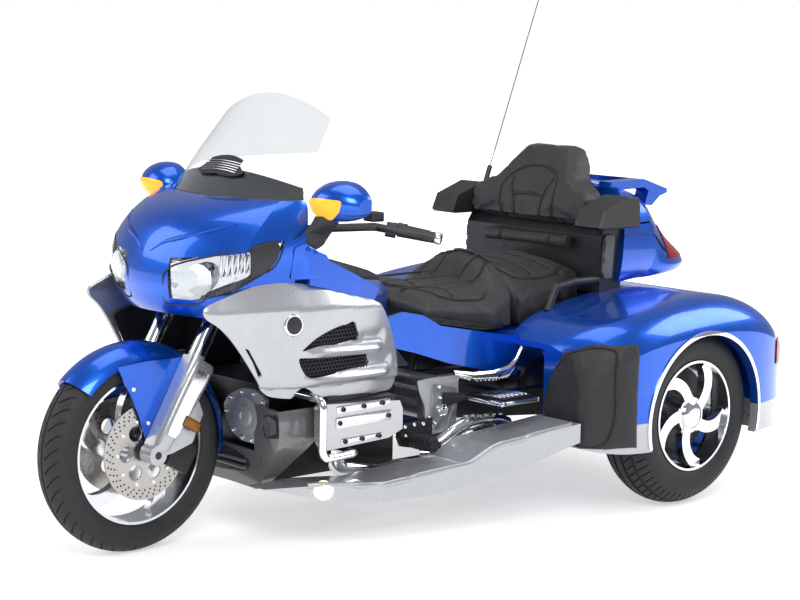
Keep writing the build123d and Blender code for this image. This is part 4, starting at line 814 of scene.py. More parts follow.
def padding(name, node, limit, shrink, voxel=0.008, form=None, soften=12):
    """A cushion blown up from its CAD solid, each point held near its start and inside the solid's box."""
    made = copied(name, node)
    grid = made.modifiers.new("grid", "REMESH")
    grid.mode = "VOXEL"
    grid.voxel_size = voxel
    ease = made.modifiers.new("ease", "SMOOTH")
    ease.factor = 0.5
    ease.iterations = soften
    settle(made)
    points = made.data.vertices
    if form:
        for point in points:
            point.co = form(point.co.copy(), point.normal)
        made.data.update()
    starts = [point.co - point.normal * shrink for point in points]
    for point, start in zip(points, starts):
        point.co = start
    cloth = made.modifiers.new("filling", "CLOTH").settings
    cloth.use_pressure = True
    cloth.uniform_pressure_force = cushion_pressure
    cloth.effector_weights.gravity = 0.0
    cloth.quality = 4
    for moment in range(1, cloth_moments + 1):
        bpy.context.scene.frame_set(moment)
    settle(made)
    bpy.context.scene.frame_set(1)
    points = made.data.vertices
    for point, start in zip(points, starts):
        shift = point.co - start
        if shift.length > limit:
            point.co = start + shift * (limit / shift.length)
    low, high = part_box(node)
    for point in points:
        for k, below in enumerate((spare_room, spare_room, 0.0)):
            point.co[k] = min(high[k] + spare_room, max(low[k] - below, point.co[k]))
    finer = made.modifiers.new("finer", "SUBSURF")
    finer.levels = finer.render_levels = 1
    settle(made)
    return made


def tree_of(made):
    return BVHTree.FromPolygons([v.co for v in made.data.vertices],
                                [tuple(f.vertices) for f in made.data.polygons])


def spaced(line, step):
    """Points at an even distance along a line."""
    marks, spare = [line[0]], 0.0
    for a, b in zip(line, line[1:]):
        length = (b - a).length
        while spare + step <= length:
            spare += step
            marks.append(a.lerp(b, spare / length))
        spare -= length
    return marks


def laid(made, line, aim):
    """Lays a line on a cushion, looking along aim."""
    tree = tree_of(made)
    aim = Vector(aim).normalized()
    marks = []
    for point in spaced(smooth_path(line, 12), 0.004):
        hit = tree.ray_cast(point - aim * 0.5, aim)
        if hit[0] is not None:
            marks.append(hit[0])
    return marks


def sewn(made, lines, depth=0.005, reach=0.014):
    """Presses seams into a cushion."""
    marks = [point for line in lines for point in line]
    near = KDTree(len(marks))
    for i, point in enumerate(marks):
        near.insert(point, i)
    near.balance()
    shifts = []
    for vertex in made.data.vertices:
        away = near.find(vertex.co)[2]
        shifts.append(vertex.normal * depth * max(0.0, 1 - away / reach) ** 1.6)
    for vertex, shift in zip(made.data.vertices, shifts):
        vertex.co -= shift
    made.data.update()


def seam_marks(made, line, offset, step=0.0095):
    """Marks for stitches beside a seam."""
    tree, path, marks = tree_of(made), spaced(line, step), []
    for a, b in zip(path, path[1:]):
        run = (b - a).normalized()
        place, normal = tree.find_nearest((a + b) / 2)[:2]
        place, normal = tree.find_nearest(place + run.cross(normal).normalized() * offset)[:2]
        marks.append((place, normal, run))
    return marks


def upholstered(made, lines, finish, body, replaces, sides=(0.006,)):
    """Seams, piping and stitches on a cushion."""
    sewn(made, lines)
    piping = Shape()
    for line in lines:
        piping.tube(spaced(line, 0.012), 0.0022, 6)
    piping.piece(made.name + "_piping", finish, body, smooth=60)
    marks = [mark for line in lines for offset in sides for mark in seam_marks(made, line, offset)]
    repeated(made.name + "_stitches", marks, stitch, "stitching", body, 0.0075, 60)
    dressed(made, finish, body, replaces, 60)


def side_line(rows, place):
    """Places a line of pairs, and its mirror image, with place(first, second)."""
    return [[Vector(place(a, b)) for a, b in rows], [Vector(place(-a, b)) for a, b in rows]]


def whole_line(rows, place):
    """Places a line that crosses the middle, given from the middle to the left."""
    return [[Vector(place(-a, b)) for a, b in reversed(rows)] + [Vector(place(a, b)) for a, b in rows[1:]]]


def above(y, station):
    return at(station, y, 1.0)


def ahead(y, z):
    return at(1.4, y, z)


def saddle_ahead(y, z):
    return at(1.1, y, z)


down, back, rightward = (0, 0, -1), (-1, 0, 0), (0, -1, 0)


def seams(made, rows):
    """Seams on a cushion from rows of: way of mirroring, line, place, direction of looking."""
    return [laid(made, line, aim) for spread, points, place, aim in rows for line in spread(points, place)]


def saddle_form(point, normal):
    """The rider's seat is dished, also where its CAD solid is flat."""
    station = front_axle.x - point.x
    dish = 0.050 * bump(station, 1.23, 0.20) * bump(point.y, 0.0, 0.25)
    point.z -= dish * ramp(point.z, 0.67, 0.74)
    return point


saddle = padding("rider_seat_cover", "rider_seat", 0.016, 0.010, 0.0085, saddle_form)
saddle_lines = seams(saddle, (
    (whole_line, [(0.0, 0.962), (0.06, 0.966), (0.115, 1.01), (0.165, 1.09), (0.205, 1.18), (0.215, 1.27),
                  (0.20, 1.325)],
     above, down),
    (whole_line, [(0.0, 1.075 + 0.012), (0.08, 1.075 + 0.004), (0.15, 1.075 - 0.02)], above, down),
    (whole_line, [(0.0, 1.19 + 0.012), (0.08, 1.19 + 0.004), (0.2, 1.19 - 0.02)], above, down),
    (whole_line, [(0.0, 0.842), (0.06, 0.838), (0.108, 0.822), (0.134, 0.785), (0.128, 0.745)],
     saddle_ahead, back),
    (side_line, [(0.066, 0.832), (0.062, 0.79), (0.066, 0.745)], saddle_ahead, back),
))
upholstered(saddle, saddle_lines, "black_leather", "chassis", ("rider_seat",))

pillion = padding("passenger_seat_cover", "passenger_seat", 0.014, 0.010, 0.0085)
pillion_lines = seams(pillion, (
    (whole_line, [(0.0, 1.44), (0.10, 1.445), (0.19, 1.47), (0.22, 1.54), (0.225, 1.62), (0.20, 1.70)],
     above, down),
    (whole_line, [(0.0, 1.53), (0.10, 1.53 + 0.004), (0.20, 1.53 + 0.012)], above, down),
    (whole_line, [(0.0, 1.62), (0.10, 1.62 + 0.004), (0.20, 1.62 + 0.012)], above, down),
))
upholstered(pillion, pillion_lines, "black_leather", "chassis", ("passenger_seat",))


def back_form(point, normal):
    """The backrest's front is hollow between its side rolls."""
    if normal.x > 0.2:
        hollow = 0.016 * bump(point.y, 0.0, 0.17)
        hollow = hollow * ramp(point.z, 0.93, 0.97) * (1 - ramp(point.z, 1.09, 1.14))
        point.x -= hollow * ramp(normal.x, 0.2, 0.5)
    return point


rest = padding("passenger_backrest_cover", "passenger_backrest", 0.014, 0.010, 0.0075, back_form)
rest_lines = seams(rest, (
    (whole_line, [(0.0, 1.128), (0.05, 1.123), (0.10, 1.10), (0.128, 1.06), (0.128, 1.00), (0.122, 0.945)],
     ahead, back),
    (side_line, [(0.100, 1.088), (0.080, 1.035), (0.064, 0.985), (0.062, 0.945)], ahead, back),
    (whole_line, [(0.0, 1.030), (0.035, 1.028), (0.076, 1.022)], ahead, back),
    (side_line, [(0.125, 0.898), (0.118, 0.875), (0.122, 0.848)], ahead, back),
))
upholstered(rest, rest_lines, "black_leather", "chassis", ("passenger_backrest",))


def guard_cut(y, z):
    """The upper inner corner of the guards is cut back in a curve."""
    inner = 1 - ramp(y, 0.47, 0.66)
    return y + 0.075 * inner * ramp(z, 0.38, 0.60), z - 0.030 * inner * ramp(z, 0.50, 0.60)


def guard_form(point, normal):
    y, z = guard_cut(abs(point.y), point.z)
    return Vector((point.x, y if point.y > 0 else -y, z))


guards = padding("stone_guard_pads", "stone_guards", 0.004, 0.0015, 0.004, guard_form, soften=3)
guard_seam = [guard_cut(y, z) for y, z in (
    (0.478, 0.30), (0.50, 0.266), (0.60, 0.262), (0.70, 0.266), (0.728, 0.35), (0.728, 0.47), (0.722, 0.57),
    (0.66, 0.588), (0.55, 0.588), (0.485, 0.57), (0.474, 0.47), (0.474, 0.36), (0.478, 0.30))]
guard_lines = []
for side in (1, -1):
    guard_lines.append(laid(guards, [at(1.3, side * y, z) for y, z in guard_seam], (-1, -0.12 * side, 0)))
guard_lines = [line for line in guard_lines if len(line) > 8]
upholstered(guards, guard_lines, "black_leather", "chassis", ("stone_guards",), (0.005, -0.005))


# Pieces laid on CAD surfaces
def tree_for(*names):
    """One search tree over CAD nodes."""
    points, faces = [], []
    for name in names:
        mesh = nodes[name].data
        first = len(points)
        points.extend(v.co for v in mesh.vertices)
        faces.extend([first + i for i in f.vertices] for f in mesh.polygons)
    return BVHTree.FromPolygons(points, faces)


def put_on(tree, start, aim, proud=0.0):
    """A place on a surface, looking along aim, and the surface's outward direction."""
    aim = Vector(aim).normalized()
    hit = tree.ray_cast(start - aim * 0.6, aim)
    if hit[0] is None:
        hit = tree.find_nearest(start)
    normal = hit[1] if hit[1].dot(aim) < 0 else -hit[1]
    return hit[0] + normal * proud, normal


def draped(outline, place, aim, tree, proud=0.001, step=0.008, holes=()):
    """A sheet laid on a surface."""
    return sheet_shape(outline, list(holes), lambda a, b: put_on(tree, place(a, b), aim, proud)[0], step)


def facing_at(station):
    """Places on an upright plane at a station, from side and height."""
    return lambda y, z: at(station, y, z)


def from_left(station, z):
    return at(station, 0.5, z)


# Nose: slits, lamps and their end caps
nose = tree_for("upper_fairing", "headlamps")
slit = draped(rounded([(0.074, 0.962), (0.108, 0.974), (0.195, 0.996), (0.104, 0.958)], 0.004),
              facing_at(0.0), back, nose, 0.0012, 0.006)
slit.both_sides().piece("nose_slits", "black_plastic", "chassis", wall=0.001)
brow_line = ((0.02, 0.925), (0.07, 0.955), (0.13, 0.972), (0.21, 0.998), (0.27, 1.02))
brow = Shape().tube([put_on(nose, at(0, y, z), back, 0.002)[0] for y, z in brow_line],
                    [0.001, 0.004, 0.006, 0.004, 0.001], 8)
brow.both_sides().piece("nose_brows", "blue_paint", "chassis", smooth=60)

lens_rim = [
    (0.0501, 0.064, 0.8464), (0.0501, 0.0716, 0.8657), (0.0618, 0.1169, 0.8950), (0.1125, 0.2384, 0.9290),
    (0.1819, 0.3230, 0.9540), (0.2700, 0.3470, 0.9680), (0.2780, 0.3500, 0.9394), (0.2480, 0.3400, 0.8870),
    (0.1909, 0.3280, 0.8710), (0.1283, 0.2920, 0.8440), (0.0980, 0.2210, 0.8120), (0.0963, 0.2000, 0.7870),
    (0.0818, 0.1524, 0.7750), (0.0610, 0.0620, 0.7730),
]
inward = Vector((-1.0, -0.30, 0.0)).normalized()
rim = [at(*point) for point in lens_rim]
middle = sum(rim, Vector()) / len(rim)
bowl = Shape().skin([
    [p + inward * 0.008 for p in rim], [middle + (p - middle) * 0.96 + inward * 0.035 for p in rim],
    [middle + (p - middle) * 0.80 + inward * 0.055 for p in rim],
    [middle + (p - middle) * 0.30 + inward * 0.060 for p in rim],
])
bowl.both_sides().piece("lamp_housings", "lamp_bowl", "chassis", smooth=50)
facing = Vector((0.95, 0.31, 0.0)).normalized()
gold = Shape().turned([(0.052, 0.0), (0.050, -0.012), (0.038, -0.026), (0.016, -0.034), (0.004, -0.036)],
                      at(0.082, 0.118, 0.838), facing, 28)
gold.both_sides().piece("lamp_main_bowls", "gold_bowl", "chassis", wall=0.001, smooth=50)
ball = Shape().turned([(0.004, 0.012), (0.016, 0.008), (0.021, -0.002), (0.018, -0.014), (0.006, -0.018)],
                      at(0.084, 0.118, 0.838), facing, 20)
ball.both_sides().piece("lamp_lenses", "clear_lens", "chassis", smooth=60)
facet = Shape().turned([(0.047, 0.004), (0.046, -0.004), (0.034, -0.018), (0.017, -0.026), (0.008, -0.012),
                        (0.003, -0.010)], at(0.104, 0.205, 0.852), facing, 14)
facet.both_sides().piece("lamp_second_bowls", "lamp_bowl", "chassis", wall=0.0008, smooth=12)
flute = Shape()
for k in range(7):
    y = 0.255 + 0.012 * k
    start = at(0.150 + 0.012 * k, y, 0.935 + 0.004 * k)
    flute.tube([start, start + Vector((0.004, 0.0, -0.045)), start + Vector((0.002, -0.002, -0.075))],
               [0.004, 0.005, 0.003], 8)
flute.both_sides().piece("lamp_flutes", "lamp_bowl", "chassis", smooth=60)
cap = draped(rounded([(0.190, 0.957), (0.272, 0.975), (0.290, 0.957), (0.280, 0.915), (0.253, 0.884),
                      (0.194, 0.866)], 0.012),
             from_left, rightward, nose, 0.0015, 0.008)
cap.both_sides().piece("lamp_end_caps", "black_plastic", "chassis", wall=0.0015)
gasket = Shape()
edge_line = [put_on(nose, p + Vector((0, 0.03, 0)), (-0.6, -0.8, 0), 0.0005)[0] for p in rim]
gasket.tube(smooth_path(edge_line + edge_line[:1], 3), 0.0028, 6)
gasket.both_sides().piece("lamp_gaskets", "black_plastic", "chassis", smooth=60)

# Mirrors: boots and turn signals
boot = Shape()
boot_rings = []
for centre, along, wide, high in (
    (at(0.395, 0.352, 0.960), 0.075, 0.010, 0.030), (at(0.410, 0.372, 0.985), 0.062, 0.026, 0.012),
    (at(0.425, 0.398, 1.020), 0.050, 0.034, 0.008), (at(0.435, 0.415, 1.046), 0.052, 0.042, 0.004),
):
    turns = [2 * pi * k / 20 for k in range(20)]
    boot_rings.append([centre + Vector((-along * cos(a), wide * sin(a), high * sin(a))) for a in turns])
boot.skin(boot_rings)
boot.both_sides().piece("mirror_boots", "black_plastic", "chassis", ("mirror_arms",), smooth=50)
mirror_tree = tree_for("mirror_housings")
signal = draped(rounded([(0.372, 1.094), (0.430, 1.102), (0.508, 1.098), (0.498, 1.066), (0.455, 1.040),
                         (0.378, 1.036)], 0.012),
                facing_at(0.36), back, mirror_tree, 0.002, 0.006)
signal.both_sides().piece("turn_signals", "lit_amber", "chassis", wall=0.002)

# Vent at the foot of the windshield
screen = tree_for("windshield")
vent = draped(rounded([(-0.115, 1.150), (-0.075, 1.176), (0.0, 1.184), (0.075, 1.176), (0.115, 1.150),
                       (0.08, 1.140), (0.0, 1.146), (-0.08, 1.140)], 0.01),
              facing_at(0.2), back, screen, 0.003, 0.008)
vent.piece("screen_vent", "black_plastic", "chassis", wall=0.004)
slats = Shape()
for k in range(5):
    z = 1.149 + 0.0065 * k
    line = [put_on(screen, at(0.2, y, z + 0.008 - 0.9 * y * y), back, 0.009)[0]
            for y in (-0.085, -0.04, 0.0, 0.04, 0.085)]
    slats.tube(line, 0.0018, 6)
slats.piece("screen_vent_slats", "chrome", "chassis", smooth=60)


# Front forks: shields and reflectors
def leg_ring(along, ahead_middle, reach, y, half, corner=0.5):
    ring = []
    for k in range(20):
        a = 2 * pi * k / 20
        c, d = cos(a), sin(a)
        c, d = (abs(c) ** corner) * (1 if c >= 0 else -1), (abs(d) ** corner) * (1 if d >= 0 else -1)
        ring.append(on_fork(ahead_middle + reach * c, y + half * d, along))
    return ring


shield = Shape().skin([
    leg_ring(along, middle, reach, 0.124, half)
    for along, middle, reach, half in (
        (0.345, 0.058, 0.020, 0.022), (0.365, 0.056, 0.027, 0.026), (0.43, 0.052, 0.032, 0.028),
        (0.50, 0.046, 0.038, 0.029), (0.575, 0.040, 0.042, 0.029), (0.640, 0.036, 0.040, 0.028),
        (0.652, 0.036, 0.034, 0.024),
    )
])
shield.both_sides().piece("fork_shields", "silver_paint", "steering", bevel=0.002, smooth=50)
panel_inset = Shape().skin([
    leg_ring(along, middle, reach, 0.1532, 0.0012, 0.35)
    for along, middle, reach in ((0.40, 0.052, 0.016), (0.42, 0.050, 0.021), (0.52, 0.044, 0.025),
                                 (0.60, 0.038, 0.027), (0.62, 0.037, 0.022))
])
panel_inset.both_sides().piece("fork_shield_panels", "polished_casting", "steering", smooth=40)
for name, finish, grow, out in (("reflector_rims", "black_plastic", 0.003, 0.0),
                                ("side_reflectors", "amber_lens", 0.0, 0.0015)):
    reflector = Shape().skin([
        [on_fork(0.000 + reach_a, 0.150 + out + depth, 0.462 + reach_b) for reach_a, reach_b in
         rounded([(-0.030 - grow, -0.014 - grow), (0.030 + grow, -0.014 - grow),
                  (0.030 + grow, 0.014 + grow), (-0.030 - grow, 0.014 + grow)], 0.006, 3)]
        for depth in (0.0, 0.006)
    ])
    reflector.both_sides().piece(name, finish, "steering", bevel=0.0008)
arm = Shape().skin([leg_ring(along, 0.018, 0.022, 0.142, 0.008) for along in (0.452, 0.474)])
arm.both_sides().piece("reflector_arms", "silver_paint", "steering", smooth=50)

# Brake discs: drillings and buttons
disc_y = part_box("front_discs")[1][1]
hole_marks, button_marks = [], []
for k in range(36):
    for j, reach in enumerate((0.118, 0.128, 0.138)):
        a = 2 * pi * (k + 0.33 * j) / 36
        hole_marks.append((front_axle + Vector((reach * cos(a), disc_y + 0.0001, reach * sin(a))), leftward,
                           upward))
for k in range(10):
    a = 2 * pi * k / 10
    button_marks.append((front_axle + Vector((0.101 * cos(a), disc_y, 0.101 * sin(a))), leftward, upward))


def dot_form(shape):
    """A flat round, 1 across."""
    shape.turned([(0.5, -0.02), (0.5, 0.03)], Vector((0, 0, 0)), upward, 10)


dot = template("dot", dot_form)
repeated("disc_drillings", mirrored(hole_marks), dot, "dark_steel", "front_wheel", 0.0065)
repeated("disc_buttons", mirrored(button_marks), bolt, "chrome", "front_wheel", 0.011)

# Engine: front covers, valve covers and their bolts
cover = Shape()
cover_outline = rounded([(0.030, 0.425), (0.053, 0.456), (0.120, 0.488), (0.178, 0.491), (0.238, 0.467),
                         (0.232, 0.395), (0.217, 0.330), (0.205, 0.321), (0.125, 0.321), (0.076, 0.341),
                         (0.040, 0.385)], 0.012)
cover.slab([at(0.352, y, z) for y, z in cover_outline], Vector((0.020, 0, 0)))
cover.both_sides().piece("front_case_covers", "case_alloy", "chassis", bevel=0.003)
boss = Shape().turned([(0.062, 0.0), (0.060, 0.006), (0.052, 0.008), (0.034, 0.008), (0.031, 0.015),
                       (0.014, 0.017), (0.012, 0.013), (0.004, 0.013)], at(0.331, 0.150, 0.405), forward, 40)
boss.both_sides().piece("front_case_caps", "case_alloy", "chassis", ("engine_front_covers",), smooth=30)
cover_marks = [(at(0.3325, y, z), forward, upward) for y, z in (
    (0.072, 0.452), (0.125, 0.477), (0.183, 0.479), (0.226, 0.458), (0.046, 0.405), (0.083, 0.350),
    (0.128, 0.332), (0.176, 0.331), (0.208, 0.342))]
repeated("front_case_bolts", mirrored(cover_marks), bolt, "chrome", "chassis", 0.013)

valve_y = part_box("valve_covers")[1][1]
bands = Shape()
for low, high, front, rear, out in ((0.386, 0.421, 0.478, 0.705, 0.0035), (0.334, 0.352, 0.50, 0.67, 0.002),
                                    (0.432, 0.456, 0.48, 0.70, 0.002)):
    outline = rounded([(front, low), (rear, low + 0.004), (rear, high + 0.003), (front, high)], 0.006, 3)
    bands.skin([[at(x, valve_y - 0.004, z) for x, z in outline], [at(x, valve_y + out, z)
        for x, z in outline]])
bands.both_sides().piece("valve_cover_bands", "polished_casting", "chassis", bevel=0.0012)
valve_tree = tree_for("valve_covers")
valve_marks = [(*put_on(valve_tree, at(x, 0.6, z), rightward, 0.0015), forward) for x, z in (
    (0.505, 0.444), (0.590, 0.446), (0.668, 0.448), (0.492, 0.403), (0.694, 0.405), (0.515, 0.343),
    (0.585, 0.344), (0.655, 0.345))]
repeated("valve_cover_bolts", mirrored(valve_marks), bolt, "dark_steel", "chassis", 0.016)
flap_bolts = ((0.100, 0.536), (0.0, 0.411), (-0.055, 0.52))
repeated("fender_bolts", side_marks(0.0886, flap_bolts), bolt, "chrome", "steering", 0.014)

# Cowl: intake with its bars, lamp recesses and their covers
cowl = tree_for("lower_cowl")
intake = draped(rounded([(-0.175, 0.262), (-0.10, 0.286), (0.0, 0.292), (0.10, 0.286), (0.175, 0.262),
                         (0.150, 0.228), (0.0, 0.212), (-0.150, 0.228)], 0.02),
                facing_at(0.30), back, cowl, 0.001, 0.01)
intake.piece("cowl_intake", "black_plastic", "chassis", wall=0.001)
bars = Shape()
for lift in (0.240, 0.262):
    bars.tube([put_on(cowl, at(0.30, y, lift), back, 0.006)[0] for y in (-0.15, -0.08, 0.0, 0.08, 0.15)],
              0.0055, 8)
bars.piece("cowl_intake_bars", "graphite_paint", "chassis", smooth=60)
recess = draped(rounded([(0.256, 0.426), (0.340, 0.438), (0.342, 0.366), (0.254, 0.353)], 0.012),
                facing_at(0.30), back, cowl, 0.001, 0.01)
recess.both_sides().piece("cowl_lamp_recesses", "black_plastic", "chassis", wall=0.001)
eye = draped(rounded([(0.266, 0.416), (0.330, 0.424), (0.332, 0.378), (0.266, 0.366)], 0.012),
             facing_at(0.30), back, cowl, 0.003, 0.008)
eye.both_sides().piece("cowl_lamp_covers", "grey_plastic", "chassis", wall=0.003, bevel=0.001)

# Running boards: lamps
boards = tree_for("running_boards")
lamp = Shape()
lamp_place = put_on(boards, at(0.440, 0.395, 0.198), (-0.62, -0.72, -0.30))[0]
lamp.turned([(0.030, -0.004), (0.030, 0.0015), (0.024, 0.005), (0.012, 0.008), (0.003, 0.009)], lamp_place,
            Vector((0.55, 0.75, 0.35)), 28)
lamp.both_sides().piece("board_lamps", "lit_lamp", "chassis", smooth=60)


# Frame side castings, trim, pipes and foot boards behind the engine
def plate(outline, y, thick):
    """A flat plate seen from the side, from y outwards."""
    return Shape().skin([[at(a, y, z) for a, z in outline], [at(a, y + thick, z) for a, z in outline]])


casting = plate(rounded([(0.905, 0.478), (0.955, 0.478), (1.088, 0.452), (1.096, 0.418), (1.068, 0.361),
                         (1.045, 0.296), (0.960, 0.292), (0.946, 0.330), (0.942, 0.388),
                         (0.915, 0.440)], 0.012), 0.3035, 0.007)
casting.both_sides().piece("frame_side_castings", "case_alloy", "chassis", bevel=0.003)
inner = plate(rounded([(0.972, 0.462), (1.078, 0.438), (1.082, 0.418), (1.056, 0.358), (1.036, 0.308),
                       (0.972, 0.306), (0.962, 0.390)], 0.010), 0.3105, 0.0015)
inner.both_sides().piece("frame_side_pads", "grey_alloy", "chassis", bevel=0.001)
pivot = Shape().turned([(0.021, 0.0), (0.021, 0.006), (0.016, 0.008), (0.014, 0.004), (0.006, 0.004),
                        (0.003, 0.005)], at(1.017, 0.3120, 0.370), leftward, 28)
pivot.both_sides().piece("swingarm_pivots", "chrome", "chassis", smooth=30)
frame_bolts = ((1.006, 0.412), (1.050, 0.404), (0.985, 0.330), (1.000, 0.448), (0.960, 0.352))
repeated("frame_side_bolts", side_marks(0.3125, frame_bolts), bolt, "chrome", "chassis", 0.012)

# station, height, half height
strip_line = [(1.008, 0.500, 0.012), (1.10, 0.480, 0.015), (1.19, 0.474, 0.017), (1.262, 0.482, 0.020),
              (1.296, 0.510, 0.017), (1.318, 0.555, 0.010)]
strip_section = ((0.0, -1), (0.006, -0.6), (0.008, 0.0), (0.006, 0.6), (0.0, 1), (-0.004, 0.0))
strip = Shape().skin([
    [at(x, 0.371 + out, z + up * rise) for out, up in strip_section] for x, z, rise in strip_line
])
strip.both_sides().piece("side_cover_trim", "chrome", "chassis", smooth=60)

pipes = Shape()
for route in (
    [(0.930, 0.300, 0.255), (0.985, 0.330, 0.268), (1.050, 0.352, 0.315), (1.12, 0.356, 0.330),
     (1.22, 0.350, 0.325), (1.30, 0.335, 0.300)],
    [(0.930, 0.300, 0.232), (0.990, 0.345, 0.240), (1.070, 0.372, 0.284), (1.16, 0.376, 0.298),
     (1.26, 0.368, 0.290), (1.32, 0.350, 0.270)],
):
    pipes.tube(smooth_path([at(x, y, z) for x, y, z in route], 8), 0.019, 18)
pipes.both_sides().piece("bent_pipes", "chrome", "chassis", smooth=60)
shields = Shape()
for k in range(6):
    x = 1.06 + 0.03 * k
    z = 0.352 - 0.001 * k
    shields.tube([at(x, 0.372 + 0.0015 * k, z), at(x + 0.014, 0.374 + 0.0015 * k, z)], 0.006, 8)
shields.both_sides().piece("pipe_shield_lugs", "chrome", "chassis", smooth=60)

board_outline = rounded([(1.135, 0.332), (1.285, 0.332), (1.285, 0.462), (1.150, 0.462)], 0.012)
board_pads = Shape().slab([at(x, y, 0.4085) for x, y in board_outline], Vector((0, 0, 0.006)))
board_pads.both_sides().piece("passenger_board_pads", "black_plastic", "chassis", bevel=0.002)
ribs = Shape()
for k in range(7):
    x = 1.152 + 0.020 * k
    ribs.tube([at(x, 0.342, 0.4155), at(x, 0.452, 0.4155)], 0.0035, 6)
ribs.both_sides().piece("passenger_board_ribs", "chrome", "chassis", smooth=60)
board_edge = ((1.128, 0.322), (1.128, 0.466), (1.145, 0.476), (1.285, 0.476), (1.294, 0.466), (1.294, 0.322))
board_rims = Shape().tube(smooth_path([at(x, y, 0.400) for x, y in board_edge], 5), 0.008, 10)
board_rims.both_sides().piece("passenger_board_rims", "chrome", "chassis", smooth=60)
peg_rubbers = Shape()
for k in range(6):
    y = 0.345 + 0.016 * k
    peg_rubbers.turned([(0.0245, 0.0), (0.0255, 0.003), (0.0255, 0.009), (0.0245, 0.012)],
                       at(0.865, y, 0.292), leftward, 20)
peg_rubbers.both_sides().piece("peg_rubbers", "black_plastic", "chassis", smooth=40)
peg_bolts = ((0.845, 0.335), (0.885, 0.338), (0.925, 0.336), (0.850, 0.305))
repeated("peg_plate_bolts", side_marks(0.3185, peg_bolts), bolt, "chrome", "chassis", 0.014)

# Running boards: a rolled lip along the outer edge
edge_top = []
for k in range(49):
    x = 0.400 + 0.0185 * k
    column = [boards.ray_cast(at(x, y, 0.9), -upward)[0] for y in (0.28 + 0.01 * i for i in range(40))]
    tops = [hit for hit in column if hit is not None]
    if tops:
        edge_top.append(tops[-1] + Vector((0, -0.004, 0.001)))
lips = Shape().tube(smooth_path(edge_top[::2], 4), 0.0105, 12)
lips.both_sides().piece("running_board_lips", "silver_paint", "chassis", smooth=60)

# Handlebar: grips, levers, reservoirs and switches
grips = Shape()
grip_start, grip_end = at(0.768, 0.285, 0.985), at(0.864, 0.420, 0.955)
grip_run = (grip_end - grip_start).normalized()
profile = []
for k in range(22):
    along = 0.030 + 0.0054 * k
    profile += [(0.0185, along), (0.0198, along + 0.0012), (0.0198, along + 0.0036),
                (0.0185, along + 0.0048)]
grips.turned(profile, grip_start, grip_run, 20)
grips.both_sides().piece("grip_rubbers", "black_plastic", "steering", smooth=40)
weights = Shape().turned([(0.012, -0.004), (0.019, 0.0), (0.020, 0.012), (0.017, 0.018), (0.006, 0.020)],
                         grip_end + grip_run * 0.003, grip_run, 24)
weights.both_sides().piece("bar_weights", "chrome", "steering", smooth=40)
levers = Shape()
lever_line = smooth_path([at(0.742, 0.262, 0.985), at(0.728, 0.300, 0.983), at(0.752, 0.350, 0.975),
                          at(0.786, 0.402, 0.963), at(0.800, 0.430, 0.956)], 6)
levers.tube(lever_line, [0.008] * 5 + [0.0062] * (len(lever_line) - 6) + [0.0085], 10)
levers.both_sides().piece("hand_levers", "black_cast", "steering", smooth=60)
tank_outline = rounded([(-0.018, -0.022), (0.028, -0.030), (0.034, 0.026), (-0.014, 0.030)], 0.008)
tank_corner = at(0.752, 0.262, 1.000)
tanks = Shape().slab([tank_corner + Vector((a, b, 0)) for a, b in tank_outline], Vector((0, 0, 0.030)))
tanks.both_sides().piece("fluid_reservoirs", "black_plastic", "steering", bevel=0.003)
switches = Shape()
key_outline = rounded([(-0.006, -0.006), (0.006, -0.006), (0.006, 0.006), (-0.006, 0.006)], 0.002, 2)
for a, z in ((0.010, 0.992), (0.026, 0.992), (0.010, 0.972), (0.028, 0.968)):
    middle = at(0.784, 0.306, z) + grip_run * a + Vector((-0.022, 0, 0))
    switches.slab([middle + grip_run * b + upward * c for b, c in key_outline], Vector((-0.006, 0.0, 0.0)))
switches.both_sides().piece("bar_switches", "grey_plastic", "steering", bevel=0.001)

# Passenger's buttons, speaker holes and the trunk's seal
panels = tree_for("switch_panels")
knobs = Shape()
for x0, x1, z0, z1 in ((1.730, 1.756, 0.845, 0.885), (1.732, 1.754, 0.808, 0.830)):
    outline = rounded([(x0, z0), (x1, z0), (x1, z1), (x0, z1)], 0.004, 2)
    knobs.slab([put_on(panels, at(a, 0.45, b), rightward, 0.0)[0] for a, b in outline], Vector((0, 0.004, 0)))
knobs.both_sides().piece("passenger_buttons", "black_plastic", "chassis", bevel=0.001)
pods = tree_for("speaker_pods")
pod_marks = []
for row in range(9):
    for column in range(11):
        y, z = 0.318 + 0.0088 * column + (0.0044 if row % 2 else 0), 0.955 + 0.0085 * row
        hit = pods.ray_cast(at(1.2, y, z), -forward)
        if hit[0] is not None and hit[1].x > 0.3:
            pod_marks.append((hit[0] + hit[1] * 0.0002, hit[1], upward))
repeated("speaker_holes", mirrored(pod_marks), dot, "dark_steel", "chassis", 0.0055)
lids = tree_for("trunk_body", "trunk_lid")
seal_line = ((1.85, 0.9375), (1.95, 0.9372), (2.05, 0.937), (2.15, 0.937), (2.20, 0.937))
seal = Shape().tube([put_on(lids, at(x, 0.6, z), rightward, 0.0005)[0] for x, z in seal_line], 0.0022, 6)
seal.both_sides().piece("trunk_seal", "black_plastic", "chassis", smooth=60)

